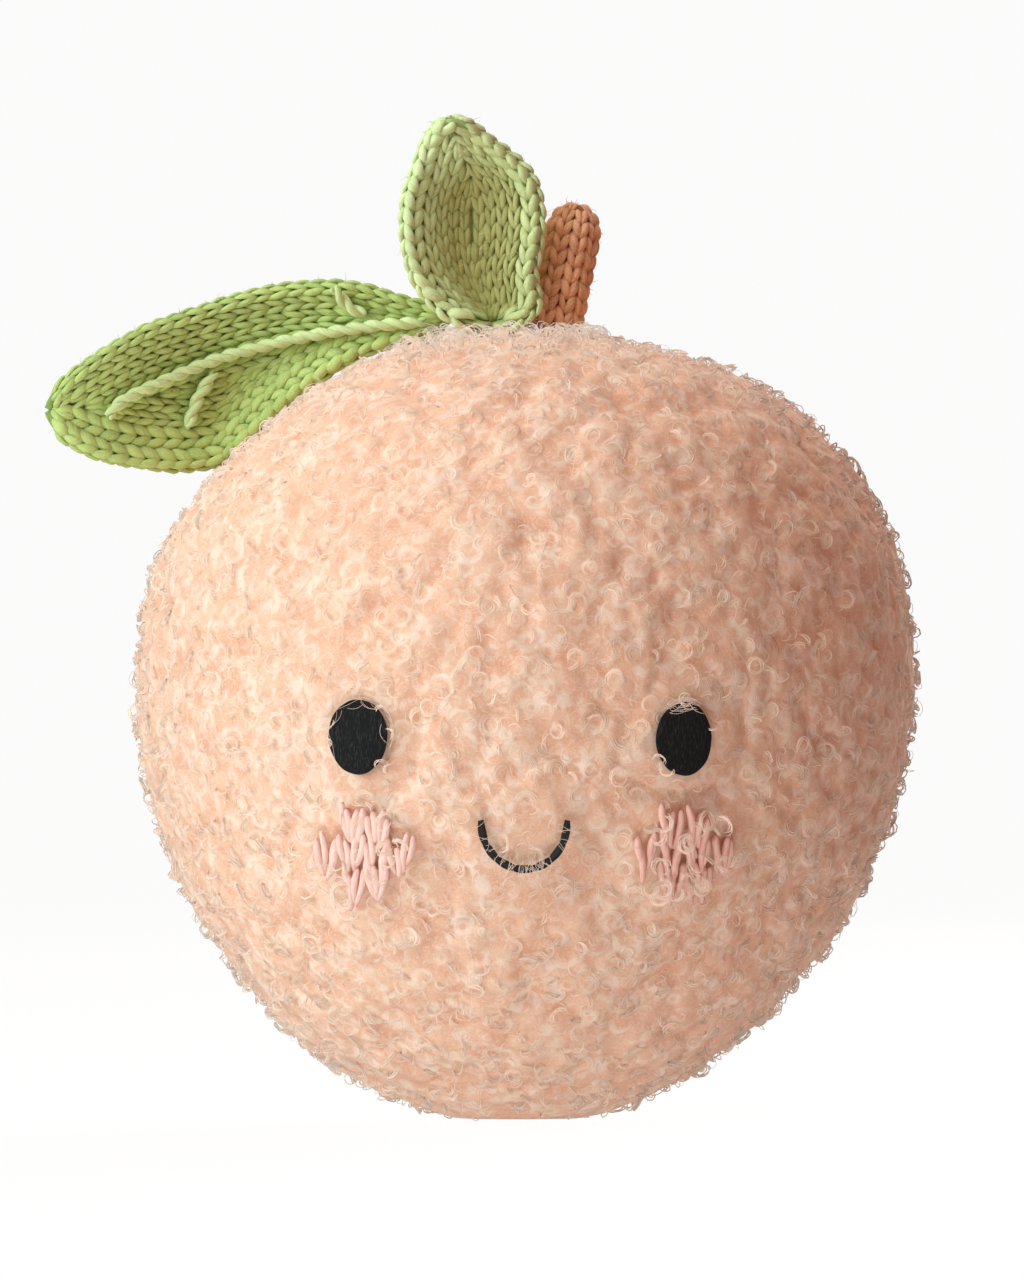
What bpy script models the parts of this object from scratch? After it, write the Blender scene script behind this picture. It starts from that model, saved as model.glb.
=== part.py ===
"""A stuffed, knitted toy peach, in metres, +Z up, face towards -Y.

The origin is in the small flat spot that the toy rests on. The round body carries a brown knitted stem,
an upright and a drooping knitted leaf with sewn veins, felt eyes, a stitched mouth and stitched cheeks.
"""

import math

import bmesh
import bpy
from mathutils import Vector, noise

MM = 0.001
GAP = 0.35 * MM
TOY = "toy_peach"

# Body: its half sizes, the corner powers of its outline, and the lumps of its curly yarn.
BODY_HALF_WIDTH = 75.0 * MM
BODY_HALF_DEPTH = 70.5 * MM
BODY_UPPER = 67.0 * MM
BODY_LOWER = 85.0 * MM
UPPER_POWER = 2.3
LOWER_POWER = 1.9
BODY_CENTRE_Z = 83.4 * MM
BODY_LEAN = 0.014
BODY_CUTS = 22
LUMP_HEIGHT = 2.6 * MM
LUMP_PITCH = 6.8 * MM
REST_RADIUS = 14.0 * MM
REST_HEIGHT = 30.0 * MM

# The shoulder is pressed in where the drooping leaf lies on it.
DENT_CENTRE = (-53.0 * MM, 5.0 * MM, 130.0 * MM)
DENT_DEPTH = 4.8 * MM
DENT_RADIUS = 20.0 * MM
DENT_STEEPNESS = 1.35

# Felt eyes: centre x and z, and half width and half height as seen from the front.
EYES = {
    "eye_left": (-31.4 * MM, 73.8 * MM, 5.55 * MM, 7.05 * MM),
    "eye_right": (29.6 * MM, 73.4 * MM, 5.25 * MM, 6.95 * MM),
}
EYE_THICKNESS = 1.3 * MM

# Mouth: half an oval of chain stitches.
MOUTH_CENTRE = (-0.3 * MM, 57.6 * MM)
MOUTH_HALF_WIDTH = 8.1 * MM
MOUTH_DROP = 8.7 * MM
MOUTH_CORD = 1.8 * MM
MOUTH_LINKS = 9

# Cheeks: rows of V stitches, each with its height in rows and its columns.
CHEEKS = {"cheek_left": (-30.2 * MM, 51.6 * MM), "cheek_right": (29.6 * MM, 51.4 * MM)}
CHEEK_ROWS = {1: (-0.5, 0.5), 0: (-1.5, -0.5, 0.5, 1.5), -1: (-0.5, 0.5)}
STITCH_WIDTH = 4.7 * MM
STITCH_HEIGHT = 5.0 * MM
LEG_LENGTH = 7.4 * MM
LEG_WIDTH = 2.7 * MM
LEG_THICKNESS = 1.7 * MM
LEG_LEAN = math.radians(17)

# Knitted leaves: a wale is one column of stitches.
WALE = 4.9 * MM
WALE_RELIEF = 0.55 * MM
LEAF_THICKNESS = 3.2 * MM
LEAF_CELLS = (26, 20)

UPRIGHT_BASE_Z = 151.6 * MM
UPRIGHT_TIP_Z = 191.2 * MM
UPRIGHT_MIDDLE_X = -10.2 * MM
UPRIGHT_HALF_WIDTH = 12.3 * MM
UPRIGHT_CUP = 8.5 * MM

SIDE_BASE_X = -15.0 * MM
SIDE_TIP_X = -90.8 * MM
SIDE_BASE_Z = 153.0 * MM
SIDE_HALF_WIDTH = 15.6 * MM
SIDE_CUP = 4.5 * MM
SHOULDER_CLEARANCE = 0.7 * MM

# Veins on the drooping leaf: x and z of the points that each yarn runs through.
VEIN_WIDTH = 2.6 * MM
VEINS = {
    "vein_middle": ((-19.0, 152.6), (-31.0, 151.6), (-44.1, 149.4), (-57.7, 145.9), (-69.0, 141.3),
                    (-76.5, 137.6), (-79.6, 134.4)),
    "vein_upper": ((-36.7, 159.2), (-33.6, 155.4), (-30.4, 154.0)),
    "vein_lower": ((-59.2, 143.2), (-62.4, 138.4), (-64.5, 132.4)),
}
VEIN_STEPS = 5

# Stem: a knitted tube that leans to one side.
STEM_BASE = (5.4 * MM, 6.0 * MM, 151.1 * MM)
STEM_LENGTH = 24.6 * MM
STEM_RADIUS = 5.1 * MM
STEM_LEAN = math.radians(11)
STEM_WALES = 7
STEM_RELIEF = 0.8 * MM
STEM_RINGS = 14
STEM_CAP = 3 / STEM_RINGS
STEM_ROUND = 4.4 * MM
STEM_HOLE = 1.0 * MM

COLOURS = {
    "curly_yarn": ((0.88, 0.60, 0.43), 0.95),
    "brown_yarn": ((0.36, 0.16, 0.09), 0.9),
    "light_green_yarn": ((0.46, 0.60, 0.24), 0.9),
    "dark_green_yarn": ((0.27, 0.37, 0.10), 0.9),
    "vein_yarn": ((0.42, 0.55, 0.20), 0.9),
    "black_felt": ((0.012, 0.012, 0.012), 0.95),
    "black_thread": ((0.015, 0.015, 0.014), 0.85),
    "pink_yarn": ((0.85, 0.42, 0.40), 0.92),
}


def clear_scene():
    for thing in list(bpy.data.objects):
        bpy.data.objects.remove(thing, do_unlink=True)


def smoothstep(low, high, value):
    share = min(1.0, max(0.0, (value - low) / (high - low)))
    return share * share * (3 - 2 * share)


def make_material(name):
    colour, roughness = COLOURS[name]
    material = bpy.data.materials.new(name)
    material.use_nodes = True
    shader = material.node_tree.nodes["Principled BSDF"]
    shader.inputs["Base Color"].default_value = (*colour, 1.0)
    shader.inputs["Roughness"].default_value = roughness
    shader.inputs["Metallic"].default_value = 0.0
    return material


def add_object(name, mesh, materials, slot, collection, parent):
    """Link a mesh as one named piece of the toy."""
    piece = bpy.data.objects.new(name, mesh)
    if slot not in materials:
        materials[slot] = make_material(slot)
    mesh.materials.append(materials[slot])
    collection.objects.link(piece)
    piece.parent = parent
    return piece


def mesh_from(bm, name):
    mesh = bpy.data.meshes.new(name)
    bm.to_mesh(mesh)
    bm.free()
    mesh.shade_smooth()
    return mesh


def half_width_at(z):
    """Half the smooth body's width at height z: one superellipse above its middle and another below."""
    above = z - BODY_CENTRE_Z
    half, power = (BODY_UPPER, UPPER_POWER) if above > 0 else (BODY_LOWER, LOWER_POWER)
    share = min(1.0, abs(above) / half)
    return BODY_HALF_WIDTH * (1 - share**power) ** (1 / power)


def lean_at(z):
    """How far the body leans to +X at height z: the filling sags a little to one side."""
    return BODY_LEAN * (z - BODY_CENTRE_Z)


def front_of_body(x, z):
    """The y of the smooth body's front at x and z."""
    half = half_width_at(z)
    left = half * half - (x - lean_at(z)) ** 2
    return -math.sqrt(max(0.0, left)) * BODY_HALF_DEPTH / BODY_HALF_WIDTH


def shoulder_at(x):
    """Height of the body's outline at x, where the drooping leaf lies on it."""
    share = min(1.0, abs(x) / BODY_HALF_WIDTH)
    height = BODY_CENTRE_Z + BODY_UPPER * (1 - share**UPPER_POWER) ** (1 / UPPER_POWER)
    return height - DENT_STEEPNESS * dent_at((x, 0.0, height))


def dent_at(point):
    """How far the drooping leaf presses the shoulder in at a point."""
    away = (Vector(point) - Vector(DENT_CENTRE)).length / DENT_RADIUS
    return DENT_DEPTH * math.exp(-away * away)


def calm_at(point):
    """1 on the open yarn, and 0 under the sewn-on face and the toy's weight, where the yarn lies flat."""
    if point.y > 0 or point.z < REST_HEIGHT:
        return smoothstep(REST_RADIUS, 1.6 * REST_RADIUS, math.hypot(point.x, point.y, point.z))
    marks = [(x, z, 9.0 * MM) for x, z, _, _ in EYES.values()]
    marks += [(x, z, 11.0 * MM) for x, z in CHEEKS.values()]
    marks.append((MOUTH_CENTRE[0], MOUTH_CENTRE[1] - 0.5 * MOUTH_DROP, 11.0 * MM))
    shares = [smoothstep(r * 0.85, r * 1.35, math.hypot(point.x - x, point.z - z)) for x, z, r in marks]
    return min(shares)


def body_point(direction):
    """The body's surface in a direction: a superellipse of revolution, less the dips between its lumps."""
    across = math.hypot(direction.x, direction.y)
    half, power = (BODY_UPPER, UPPER_POWER) if direction.z > 0 else (BODY_LOWER, LOWER_POWER)
    reach = ((across / BODY_HALF_WIDTH) ** power + (abs(direction.z) / half) ** power) ** (-1 / power)
    point = direction * reach
    point.y *= BODY_HALF_DEPTH / BODY_HALF_WIDTH
    point.z += BODY_CENTRE_Z
    point.x += lean_at(point.z)
    lump = noise.noise(point / LUMP_PITCH) * 0.5 + 0.5
    point -= direction * (LUMP_HEIGHT * (1 - lump) * calm_at(point) + dent_at(point))
    point.z = max(0.0, point.z)
    return point


def add_body(materials, collection, parent):
    """A cube's grid pushed out to the lumpy round body, with the flat spot that it rests on."""
    bm = bmesh.new()
    bmesh.ops.create_cube(bm, size=2.0)
    bmesh.ops.subdivide_edges(bm, edges=bm.edges, cuts=BODY_CUTS, use_grid_fill=True)
    for vertex in bm.verts:
        even = Vector(math.tan(math.pi / 4 * part) for part in vertex.co)
        vertex.co = body_point(even.normalized())
    bmesh.ops.triangulate(bm, faces=bm.faces)
    add_object("body", mesh_from(bm, "body"), materials, "curly_yarn", collection, parent)


def add_eye(name, materials, collection, parent):
    """A domed oval of felt whose back follows the body."""
    x, z, half_width, half_height = EYES[name]
    bm = bmesh.new()
    bmesh.ops.create_uvsphere(bm, u_segments=24, v_segments=10, radius=1.0)
    for vertex in bm.verts:
        u, v, w = vertex.co
        rise = EYE_THICKNESS * (0.5 + 0.5 * math.copysign(abs(w) ** 0.6, w))
        at_x, at_z = x + u * half_width, z + v * half_height
        vertex.co = (at_x, front_of_body(at_x, at_z) - GAP - rise, at_z)
    add_object(name, mesh_from(bm, name), materials, "black_felt", collection, parent)


def curve_object(name, points, radii, sides):
    """A closed yarn along points, with its own radius at each."""
    curve = bpy.data.curves.new(name, "CURVE")
    curve.dimensions = "3D"
    curve.bevel_depth = 1.0
    curve.bevel_resolution = sides // 2 - 2
    curve.use_fill_caps = True
    curve.render_resolution_u = 0
    spline = curve.splines.new("POLY")
    spline.points.add(len(points) - 1)
    for place, point, radius in zip(spline.points, points, radii, strict=True):
        place.co = (*point, 1.0)
        place.radius = radius
    return bpy.data.objects.new(name, curve)


def mesh_of_curve(thing):
    """A curve's evaluated tube as a mesh with its caps welded on, and the curve removed."""
    bpy.context.scene.collection.objects.link(thing)
    seen = thing.evaluated_get(bpy.context.evaluated_depsgraph_get())
    mesh = bpy.data.meshes.new_from_object(seen)
    bpy.data.objects.remove(thing, do_unlink=True)
    bm = bmesh.new()
    bm.from_mesh(mesh)
    bmesh.ops.remove_doubles(bm, verts=bm.verts, dist=0.01 * MM)
    bm.to_mesh(mesh)
    bm.free()
    return mesh


def add_mouth(materials, collection, parent):
    """A row of chain stitches along half an oval: the cord swells in every link."""
    steps = MOUTH_LINKS * 4
    points, radii = [], []
    for i in range(steps + 1):
        turn = math.pi * (1 + i / steps)
        x = MOUTH_CENTRE[0] + MOUTH_HALF_WIDTH * math.cos(turn)
        z = MOUTH_CENTRE[1] + MOUTH_DROP * math.sin(turn)
        swell = 0.82 + 0.18 * math.sin(math.pi * i / 4) ** 2
        ends = 0.7 if i in (0, steps) else 1.0
        points.append((x, front_of_body(x, z) - GAP - MOUTH_CORD / 2, z))
        radii.append(MOUTH_CORD / 2 * swell * ends)
    mesh = mesh_of_curve(curve_object("mouth", points, radii, 8))
    add_object("mouth", mesh, materials, "black_thread", collection, parent)


def stitch_leg(name, x, z, side, collection):
    """One leg of a V stitch: a leaning drop of yarn, fuller at its top, that lies along the body."""
    bm = bmesh.new()
    bmesh.ops.create_uvsphere(bm, u_segments=6, v_segments=5, radius=1.0)
    for vertex in bm.verts:
        u, rise, w = vertex.co
        along = w * LEG_LENGTH / 2
        across = u * LEG_WIDTH / 2 * (1 + 0.15 * w) + side * math.tan(LEG_LEAN) * along
        at_x, at_z = x + across + side * LEG_WIDTH * 0.42, z + along
        out = LEG_THICKNESS * (0.5 - 0.5 * rise)
        vertex.co = (at_x, front_of_body(at_x, at_z) - GAP - out, at_z)
    leg = bpy.data.objects.new(name, mesh_from(bm, name))
    collection.objects.link(leg)
    return leg


def fused(name, pieces):
    """One mesh from overlapping pieces, which are removed."""
    group = bpy.data.collections.new(name + "_pieces")
    bpy.context.scene.collection.children.link(group)
    first, *others = pieces
    for piece in others:
        group.objects.link(piece)
        bpy.context.scene.collection.objects.unlink(piece)
    union = first.modifiers.new("union", "BOOLEAN")
    union.operation = "UNION"
    union.operand_type = "COLLECTION"
    union.collection = group
    union.solver = "EXACT"
    seen = first.evaluated_get(bpy.context.evaluated_depsgraph_get())
    mesh = bpy.data.meshes.new_from_object(seen)
    mesh.name = name
    for piece in pieces:
        bpy.data.objects.remove(piece, do_unlink=True)
    bpy.data.collections.remove(group)
    return mesh


def add_cheek(name, materials, collection, parent):
    """Rows of V stitches sewn over the yarn, each hooked into the next, as one piece."""
    x, z = CHEEKS[name]
    legs = []
    for row, columns in CHEEK_ROWS.items():
        for column in columns:
            for side in (-1, 1):
                place = (x + column * STITCH_WIDTH, z + row * STITCH_HEIGHT)
                legs.append(stitch_leg(name, *place, side, bpy.context.scene.collection))
    add_object(name, fused(name, legs), materials, "pink_yarn", collection, parent)


def disc_of(u, v):
    """A square's point moved to the round disc: along and across, each from -1 to 1."""
    return u * math.sqrt(1 - v * v / 2), v * math.sqrt(1 - u * u / 2)


def upright_leaf_point(along, side):
    """The upright leaf's middle surface: a pointed oval, cupped towards the front and pinched at its base."""
    half = UPRIGHT_HALF_WIDTH * math.sqrt(max(0.0, 1 - along * along))
    half *= 1.08 - 0.2 * smoothstep(0.3, 1.0, along) + 0.3 * smoothstep(0.4, 1.0, -along)
    middle = UPRIGHT_MIDDLE_X - 3.6 * MM * smoothstep(0.4, 1.0, along)
    middle += 3.6 * MM * smoothstep(0.4, 1.0, -along)
    x = middle + side * half
    z = UPRIGHT_BASE_Z + (UPRIGHT_TIP_Z - UPRIGHT_BASE_Z) * (along + 1) / 2
    bowl = UPRIGHT_CUP * (1 - side * side) * (1 - smoothstep(0.1, 1.0, along))
    y = -4.6 * MM + bowl + 3.0 * MM * smoothstep(-0.2, 1.0, along) - 2.0 * MM * smoothstep(0.85, 1.0, along)
    return Vector((x, y, z))


def side_leaf_span(along):
    """The drooping leaf's x, its middle line's height, and its width above and below that line."""
    x = SIDE_BASE_X + (SIDE_TIP_X - SIDE_BASE_X) * (along + 1) / 2
    middle = SIDE_BASE_Z - 13.4 * MM * smoothstep(-0.68, 0.36, along) - 3.9 * MM * smoothstep(0.2, 1.0, along)
    swell = 0.42 + 0.6 * smoothstep(-0.9, 0.2, along) - 0.06 * smoothstep(0.4, 1.0, along)
    half = SIDE_HALF_WIDTH * math.sqrt(max(0.0, 1 - along * along)) * swell
    lower = min(half, middle - shoulder_at(x) - SHOULDER_CLEARANCE)
    return x, middle, half, lower


def side_leaf_point(along, side):
    """The drooping leaf's middle surface: a long oval whose lower edge lies on the body's shoulder."""
    x, middle, upper, lower = side_leaf_span(along)
    z = middle + side * (upper if side > 0 else lower)
    y = 5.0 * MM + 3.0 * MM * smoothstep(-0.9, 0.0, along) - 11.0 * MM * smoothstep(0.1, 1.0, along)
    y += SIDE_CUP * (1 - side * side) * (1 - 0.7 * abs(along))
    return Vector((x, y, z))


def add_leaf(name, point_of, slot, materials, collection, parent):
    """A grid bent to the leaf's surface, ribbed by its wales, and given the knit's thickness."""
    bm = bmesh.new()
    bmesh.ops.create_grid(bm, x_segments=LEAF_CELLS[0], y_segments=LEAF_CELLS[1], size=1.0)
    for vertex in bm.verts:
        along, across = disc_of(vertex.co.x, vertex.co.y)
        width = math.sqrt(max(1e-9, 1 - along * along))
        side = max(-1.0, min(1.0, across / width))
        middle = point_of(along, side)
        from_edge = (middle - point_of(along, math.copysign(1.0, side))).length
        middle.y -= WALE_RELIEF * (math.sin(math.pi * from_edge / WALE) ** 2 - 0.5)
        vertex.co = middle
    piece = add_object(name, mesh_from(bm, name), materials, slot, collection, parent)
    knit = piece.modifiers.new("knit thickness", "SOLIDIFY")
    knit.thickness = LEAF_THICKNESS
    knit.offset = 0.0
    return piece


def side_leaf_front(x, z):
    """The y of the drooping leaf's front at x and z."""
    along = 2 * (x - SIDE_BASE_X) / (SIDE_TIP_X - SIDE_BASE_X) - 1
    _, middle, upper, lower = side_leaf_span(along)
    side = (z - middle) / (upper if z > middle else lower)
    return side_leaf_point(along, max(-1.0, min(1.0, side))).y - LEAF_THICKNESS / 2


def add_vein(name, materials, collection, parent):
    """A twisted yarn laid along the drooping leaf's front, through its points."""
    marks = [Vector((x * MM, z * MM)) for x, z in VEINS[name]]
    ends = [marks[0] * 2 - marks[1], *marks, marks[-1] * 2 - marks[-2]]
    flat = []
    for a, b, c, d in zip(ends, ends[1:], ends[2:], ends[3:]):
        for step in range(VEIN_STEPS):
            t = step / VEIN_STEPS
            flat.append(((b * 2) + (c - a) * t + (a * 2 - b * 5 + c * 4 - d) * t**2
                         + (b * 3 - a - c * 3 + d) * t**3) * 0.5)
    flat.append(marks[-1])
    lift = GAP + WALE_RELIEF + VEIN_WIDTH / 2
    points = [(p.x, side_leaf_front(p.x, p.y) - lift, p.y) for p in flat]
    radii = [VEIN_WIDTH / 2 * (0.9 + 0.1 * (-1) ** i) for i in range(len(points))]
    radii[0] = radii[-1] = VEIN_WIDTH * 0.33
    mesh = mesh_of_curve(curve_object(name, points, radii, 8))
    add_object(name, mesh, materials, "vein_yarn", collection, parent)


def stem_profile(share):
    """Radius share and height at a share of the way from the stem's tip, over its side, to its base."""
    if share < STEM_CAP:
        turn = math.pi / 2 * share / STEM_CAP
        hole = STEM_HOLE if share == 0 else 0.0
        return math.sin(turn), STEM_LENGTH - STEM_ROUND * (1 - math.cos(turn)) - hole
    if share == 1:
        return 0.0, 0.0
    side = (share - STEM_CAP) / (1 - 1 / STEM_RINGS - STEM_CAP)
    return 1.0, (STEM_LENGTH - STEM_ROUND) * (1 - side)


def add_stem(materials, collection, parent):
    """A ribbed tube with a rounded, gathered top, leaning to +X."""
    bm = bmesh.new()
    bmesh.ops.create_uvsphere(bm, u_segments=STEM_WALES * 4, v_segments=STEM_RINGS, radius=1.0)
    for vertex in bm.verts:
        u, v, w = vertex.co
        turn = math.atan2(v, u)
        share = round(math.acos(max(-1.0, min(1.0, w))) / math.pi * STEM_RINGS) / STEM_RINGS
        radius_share, height = stem_profile(share)
        flute = STEM_RELIEF * math.sin(STEM_WALES / 2 * turn) ** 2
        radius = (STEM_RADIUS - flute) * radius_share
        vertex.co = (radius * math.cos(turn), radius * math.sin(turn), height)
    piece = add_object("stem", mesh_from(bm, "stem"), materials, "brown_yarn", collection, parent)
    piece.location = STEM_BASE
    piece.rotation_euler = (0.0, STEM_LEAN, 0.0)


def main():
    clear_scene()
    collection = bpy.data.collections.new(TOY)
    bpy.context.scene.collection.children.link(collection)
    root = bpy.data.objects.new(TOY + "_origin", None)
    collection.objects.link(root)
    materials = {}
    add_body(materials, collection, root)
    for name in EYES:
        add_eye(name, materials, collection, root)
    add_mouth(materials, collection, root)
    for name in CHEEKS:
        add_cheek(name, materials, collection, root)
    add_leaf("leaf_upright", upright_leaf_point, "light_green_yarn", materials, collection, root)
    add_leaf("leaf_side", side_leaf_point, "dark_green_yarn", materials, collection, root)
    for name in VEINS:
        add_vein(name, materials, collection, root)
    add_stem(materials, collection, root)


main()
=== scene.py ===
# %% [markdown]
# # A stuffed toy peach, knitted in curly yarn
# The toy is a soft ball covered with thousands of tiny mohair-like curls. On top it carries a brown knitted
# stem and two knitted leaves, and its face is made of felt, thread and pink yarn.
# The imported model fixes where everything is. Each piece here is worked out with numpy in millimetres, put
# into a mesh in metres, and then stands for the plain solid of the same part.

import bpy
import numpy as np
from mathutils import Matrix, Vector


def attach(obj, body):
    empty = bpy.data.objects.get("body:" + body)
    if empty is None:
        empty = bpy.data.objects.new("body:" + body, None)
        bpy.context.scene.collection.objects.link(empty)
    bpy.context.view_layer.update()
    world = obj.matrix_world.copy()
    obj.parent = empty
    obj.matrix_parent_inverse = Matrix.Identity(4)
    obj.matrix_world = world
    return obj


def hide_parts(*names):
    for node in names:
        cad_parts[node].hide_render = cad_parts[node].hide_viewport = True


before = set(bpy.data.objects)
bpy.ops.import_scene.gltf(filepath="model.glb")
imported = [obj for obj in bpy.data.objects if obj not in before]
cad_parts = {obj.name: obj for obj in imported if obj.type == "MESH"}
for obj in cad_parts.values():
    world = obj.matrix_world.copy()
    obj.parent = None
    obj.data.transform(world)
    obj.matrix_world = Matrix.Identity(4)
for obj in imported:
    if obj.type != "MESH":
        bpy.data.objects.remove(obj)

MM = 0.001
FULL_TURN = 2 * np.pi
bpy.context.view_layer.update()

# %% [markdown]
# ## Small tools for shapes
# Almost everything on this toy is a yarn or a hair: a closed tube carried along a path. So one function makes
# rings around many paths at once, and another joins the rings into closed skins. Working on whole arrays
# keeps this quick, even for thousands of curls.


# %% Directions and steps
def unit(vectors):
    """Each vector divided by its own length."""
    return vectors / np.maximum(np.linalg.norm(vectors, axis=-1, keepdims=True), 1e-9)


def ease(low, high, value):
    """0 below low, 1 above high, and 3 s squared less 2 s cubed between, where s is the share of the way."""
    share = np.clip((value - low) / (high - low), 0.0, 1.0)
    return share * share * (3 - 2 * share)


# %% Rings around a path
def rings_along(paths, up, half_width, half_depth, sides):
    """Ellipses square to each path: point + across * half_width * cos(turn) + out * half_depth * sin(turn).

    paths is (yarns, steps, 3), up points out of the cloth, and the half sizes are numbers or arrays.
    """
    ahead = unit(np.gradient(paths, axis=1))
    across = unit(np.cross(np.broadcast_to(up, paths.shape), ahead))
    out = np.cross(ahead, across)
    turn = FULL_TURN * np.arange(sides) / sides
    wide = np.broadcast_to(half_width, paths.shape[:2])[:, :, None, None]
    deep = np.broadcast_to(half_depth, paths.shape[:2])[:, :, None, None]
    ring = across[:, :, None] * wide * np.cos(turn)[:, None] + out[:, :, None] * deep * np.sin(turn)[:, None]
    return paths[:, :, None] + ring


# %% Closed skins from rings
OWN_NORMAL = 0.6


def closed_skin(rings, twist=0.0, tint=0.5, rise=0.5, shade=0.0, way_out=None):
    """Faces between neighbouring rings, and a point in the middle of the first and last ring to close them.

    The yarn mark of a point is (cos, sin) of its place around the yarn, turned back by twist radians for
    each mm along it, and the mm along it, so a pattern drawn on the marks runs round like spun fibres.
    Where a way out is given, the points' normals are softened: a share of the tube's own plus the way out.
    """
    count, steps, sides = rings.shape[:3]
    poles = rings[:, [0, -1]].mean(axis=2)
    points = np.concatenate([rings.reshape(count, -1, 3), poles], axis=1)
    each = points.shape[1]
    step, side = np.meshgrid(np.arange(steps - 1), np.arange(sides), indexing="ij")
    here, beside = step * sides + side, step * sides + (side + 1) % sides
    quads = np.stack([here, beside, beside + sides, here + sides], axis=-1).reshape(-1, 4)
    around = np.arange(sides)
    following = (around + 1) % sides
    top = (steps - 1) * sides
    first, last = np.full(sides, each - 2), np.full(sides, each - 1)
    fans = np.concatenate([np.stack([first, following, around], axis=-1),
                           np.stack([last, top + around, top + following], axis=-1)])
    shift = each * np.arange(count)[:, None, None]

    centre = rings.mean(axis=2)
    length = np.linalg.norm(np.diff(centre, axis=1), axis=-1).cumsum(axis=1)
    length = np.pad(length, ((0, 0), (1, 0)))[:, :, None] + 37.0 * np.arange(count)[:, None, None]
    turn = FULL_TURN * around / sides - twist * length
    marks = np.stack([np.cos(turn), np.sin(turn), np.broadcast_to(length, turn.shape)], axis=-1)
    marks = np.concatenate([marks.reshape(count, -1, 3), marks[:, [0, -1]].mean(axis=2)], axis=1)

    # The look mark holds rise, tint and shade: rise and shade drive painted shade, and tint is a random tone.
    rise = np.broadcast_to(rise, (count, steps))
    rise = np.concatenate([np.repeat(rise, sides, axis=1), rise[:, [0, -1]]], axis=1)
    tint = np.broadcast_to(np.reshape(tint, (-1, 1)), rise.shape)
    shade = np.broadcast_to(np.reshape(shade, (-1, 1)), rise.shape)
    look = np.stack([rise, tint, shade], axis=-1)
    skin = {"rings": rings, "points": points.reshape(-1, 3), "quads": (quads + shift).reshape(-1, 4),
            "fans": (fans + shift).reshape(-1, 3), "yarn": marks.reshape(-1, 3), "look": look.reshape(-1, 3)}
    if way_out is not None:
        own = unit(rings - centre[:, :, None]).reshape(count, -1, 3)
        own = np.concatenate([own, np.zeros((count, 2, 3))], axis=1)
        skin["normals"] = unit(OWN_NORMAL * own + np.reshape(way_out, (count, 1, 3))).reshape(-1, 3)
    return skin


# %% Put arrays into a named piece
def add_piece(name, parts, material, slot, *stands_for):
    """Join the parts' arrays, turn millimetres into metres, and make one piece that rides on the toy."""
    sizes = np.cumsum([0] + [len(part["points"]) for part in parts])
    points = np.concatenate([part["points"] for part in parts]) * MM
    quads = np.concatenate([part["quads"] + start for part, start in zip(parts, sizes)])
    fans = np.concatenate([part["fans"] + start for part, start in zip(parts, sizes)])
    mesh = bpy.data.meshes.new(name)
    mesh.vertices.add(len(points))
    mesh.vertices.foreach_set("co", points.astype(np.float32).ravel())
    mesh.loops.add(quads.size + fans.size)
    mesh.loops.foreach_set("vertex_index", np.concatenate([quads.ravel(), fans.ravel()]).astype(np.int32))
    mesh.polygons.add(len(quads) + len(fans))
    starts = np.concatenate([4 * np.arange(len(quads)), quads.size + 3 * np.arange(len(fans))])
    mesh.polygons.foreach_set("loop_start", starts.astype(np.int32))
    mesh.polygons.foreach_set("use_smooth", np.ones(len(starts), dtype=bool))
    for mark in ("yarn", "look"):
        values = np.concatenate([part[mark] for part in parts]).astype(np.float32)
        mesh.attributes.new(mark, "FLOAT_VECTOR", "POINT").data.foreach_set("vector", values.ravel())
    mesh.update()
    if "normals" in parts[0]:
        mesh.normals_split_custom_set_from_vertices(np.concatenate([part["normals"] for part in parts]))
    mesh.materials.append(material)
    piece = bpy.data.objects.new(name, mesh)
    bpy.context.scene.collection.objects.link(piece)
    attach(piece, "root")
    if stands_for:
        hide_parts(*stands_for)
    print(f"{name}: {2 * len(quads) + len(fans)} triangles")
    return piece


# %% [markdown]
# ## Repeatable randomness
# Wool is never regular, but this toy has to come out the same each time. Draws come from one seeded
# generator per group of pieces. Lumps come from a lattice: each cube of space has a fixed random number,
# worked out from its own whole-number place, so any point can look up the lumps around it.


# %% Lattice numbers and domes
def lattice(cell, seed):
    """A fixed number from 0 to 1 for each cell: its whole numbers times large primes, mixed bit by bit."""
    cell = cell.astype(np.int64)
    mixed = (cell[..., 0] * 73856093) ^ (cell[..., 1] * 19349663) ^ (cell[..., 2] * 83492791)
    mixed = mixed ^ (seed * 668265263)
    mixed = ((mixed ^ (mixed >> 13)) * 1274126177) & 0xFFFFFFFF
    return ((mixed ^ (mixed >> 16)) & 0xFFFFFF) / 0xFFFFFF


NEAR_CELLS = np.stack(np.meshgrid(*[[-1, 0, 1]] * 3, indexing="ij"), axis=-1).reshape(-1, 3)


def domes(points, pitch, seed):
    """Round lumps from 0 to 1: each cell has one lump, and height falls with the distance to the nearest."""
    cell = np.floor(points / pitch)[:, None] + NEAR_CELLS
    centre = cell + np.stack([lattice(cell, seed + part) for part in range(3)], axis=-1)
    nearest = np.linalg.norm(points[:, None] / pitch - centre, axis=-1).min(axis=1)
    return 1 - np.minimum(nearest, 1.0) ** 2


# %% [markdown]
# ## The toy's body as a formula
# The ball is a superellipse of revolution with one power above its middle and another below, squeezed a
# little from front to back, and leaning a little to one side. The drooping leaf presses a dent in its
# shoulder. These are the same values as in the solid model, so every seam stays where it is.

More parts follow.
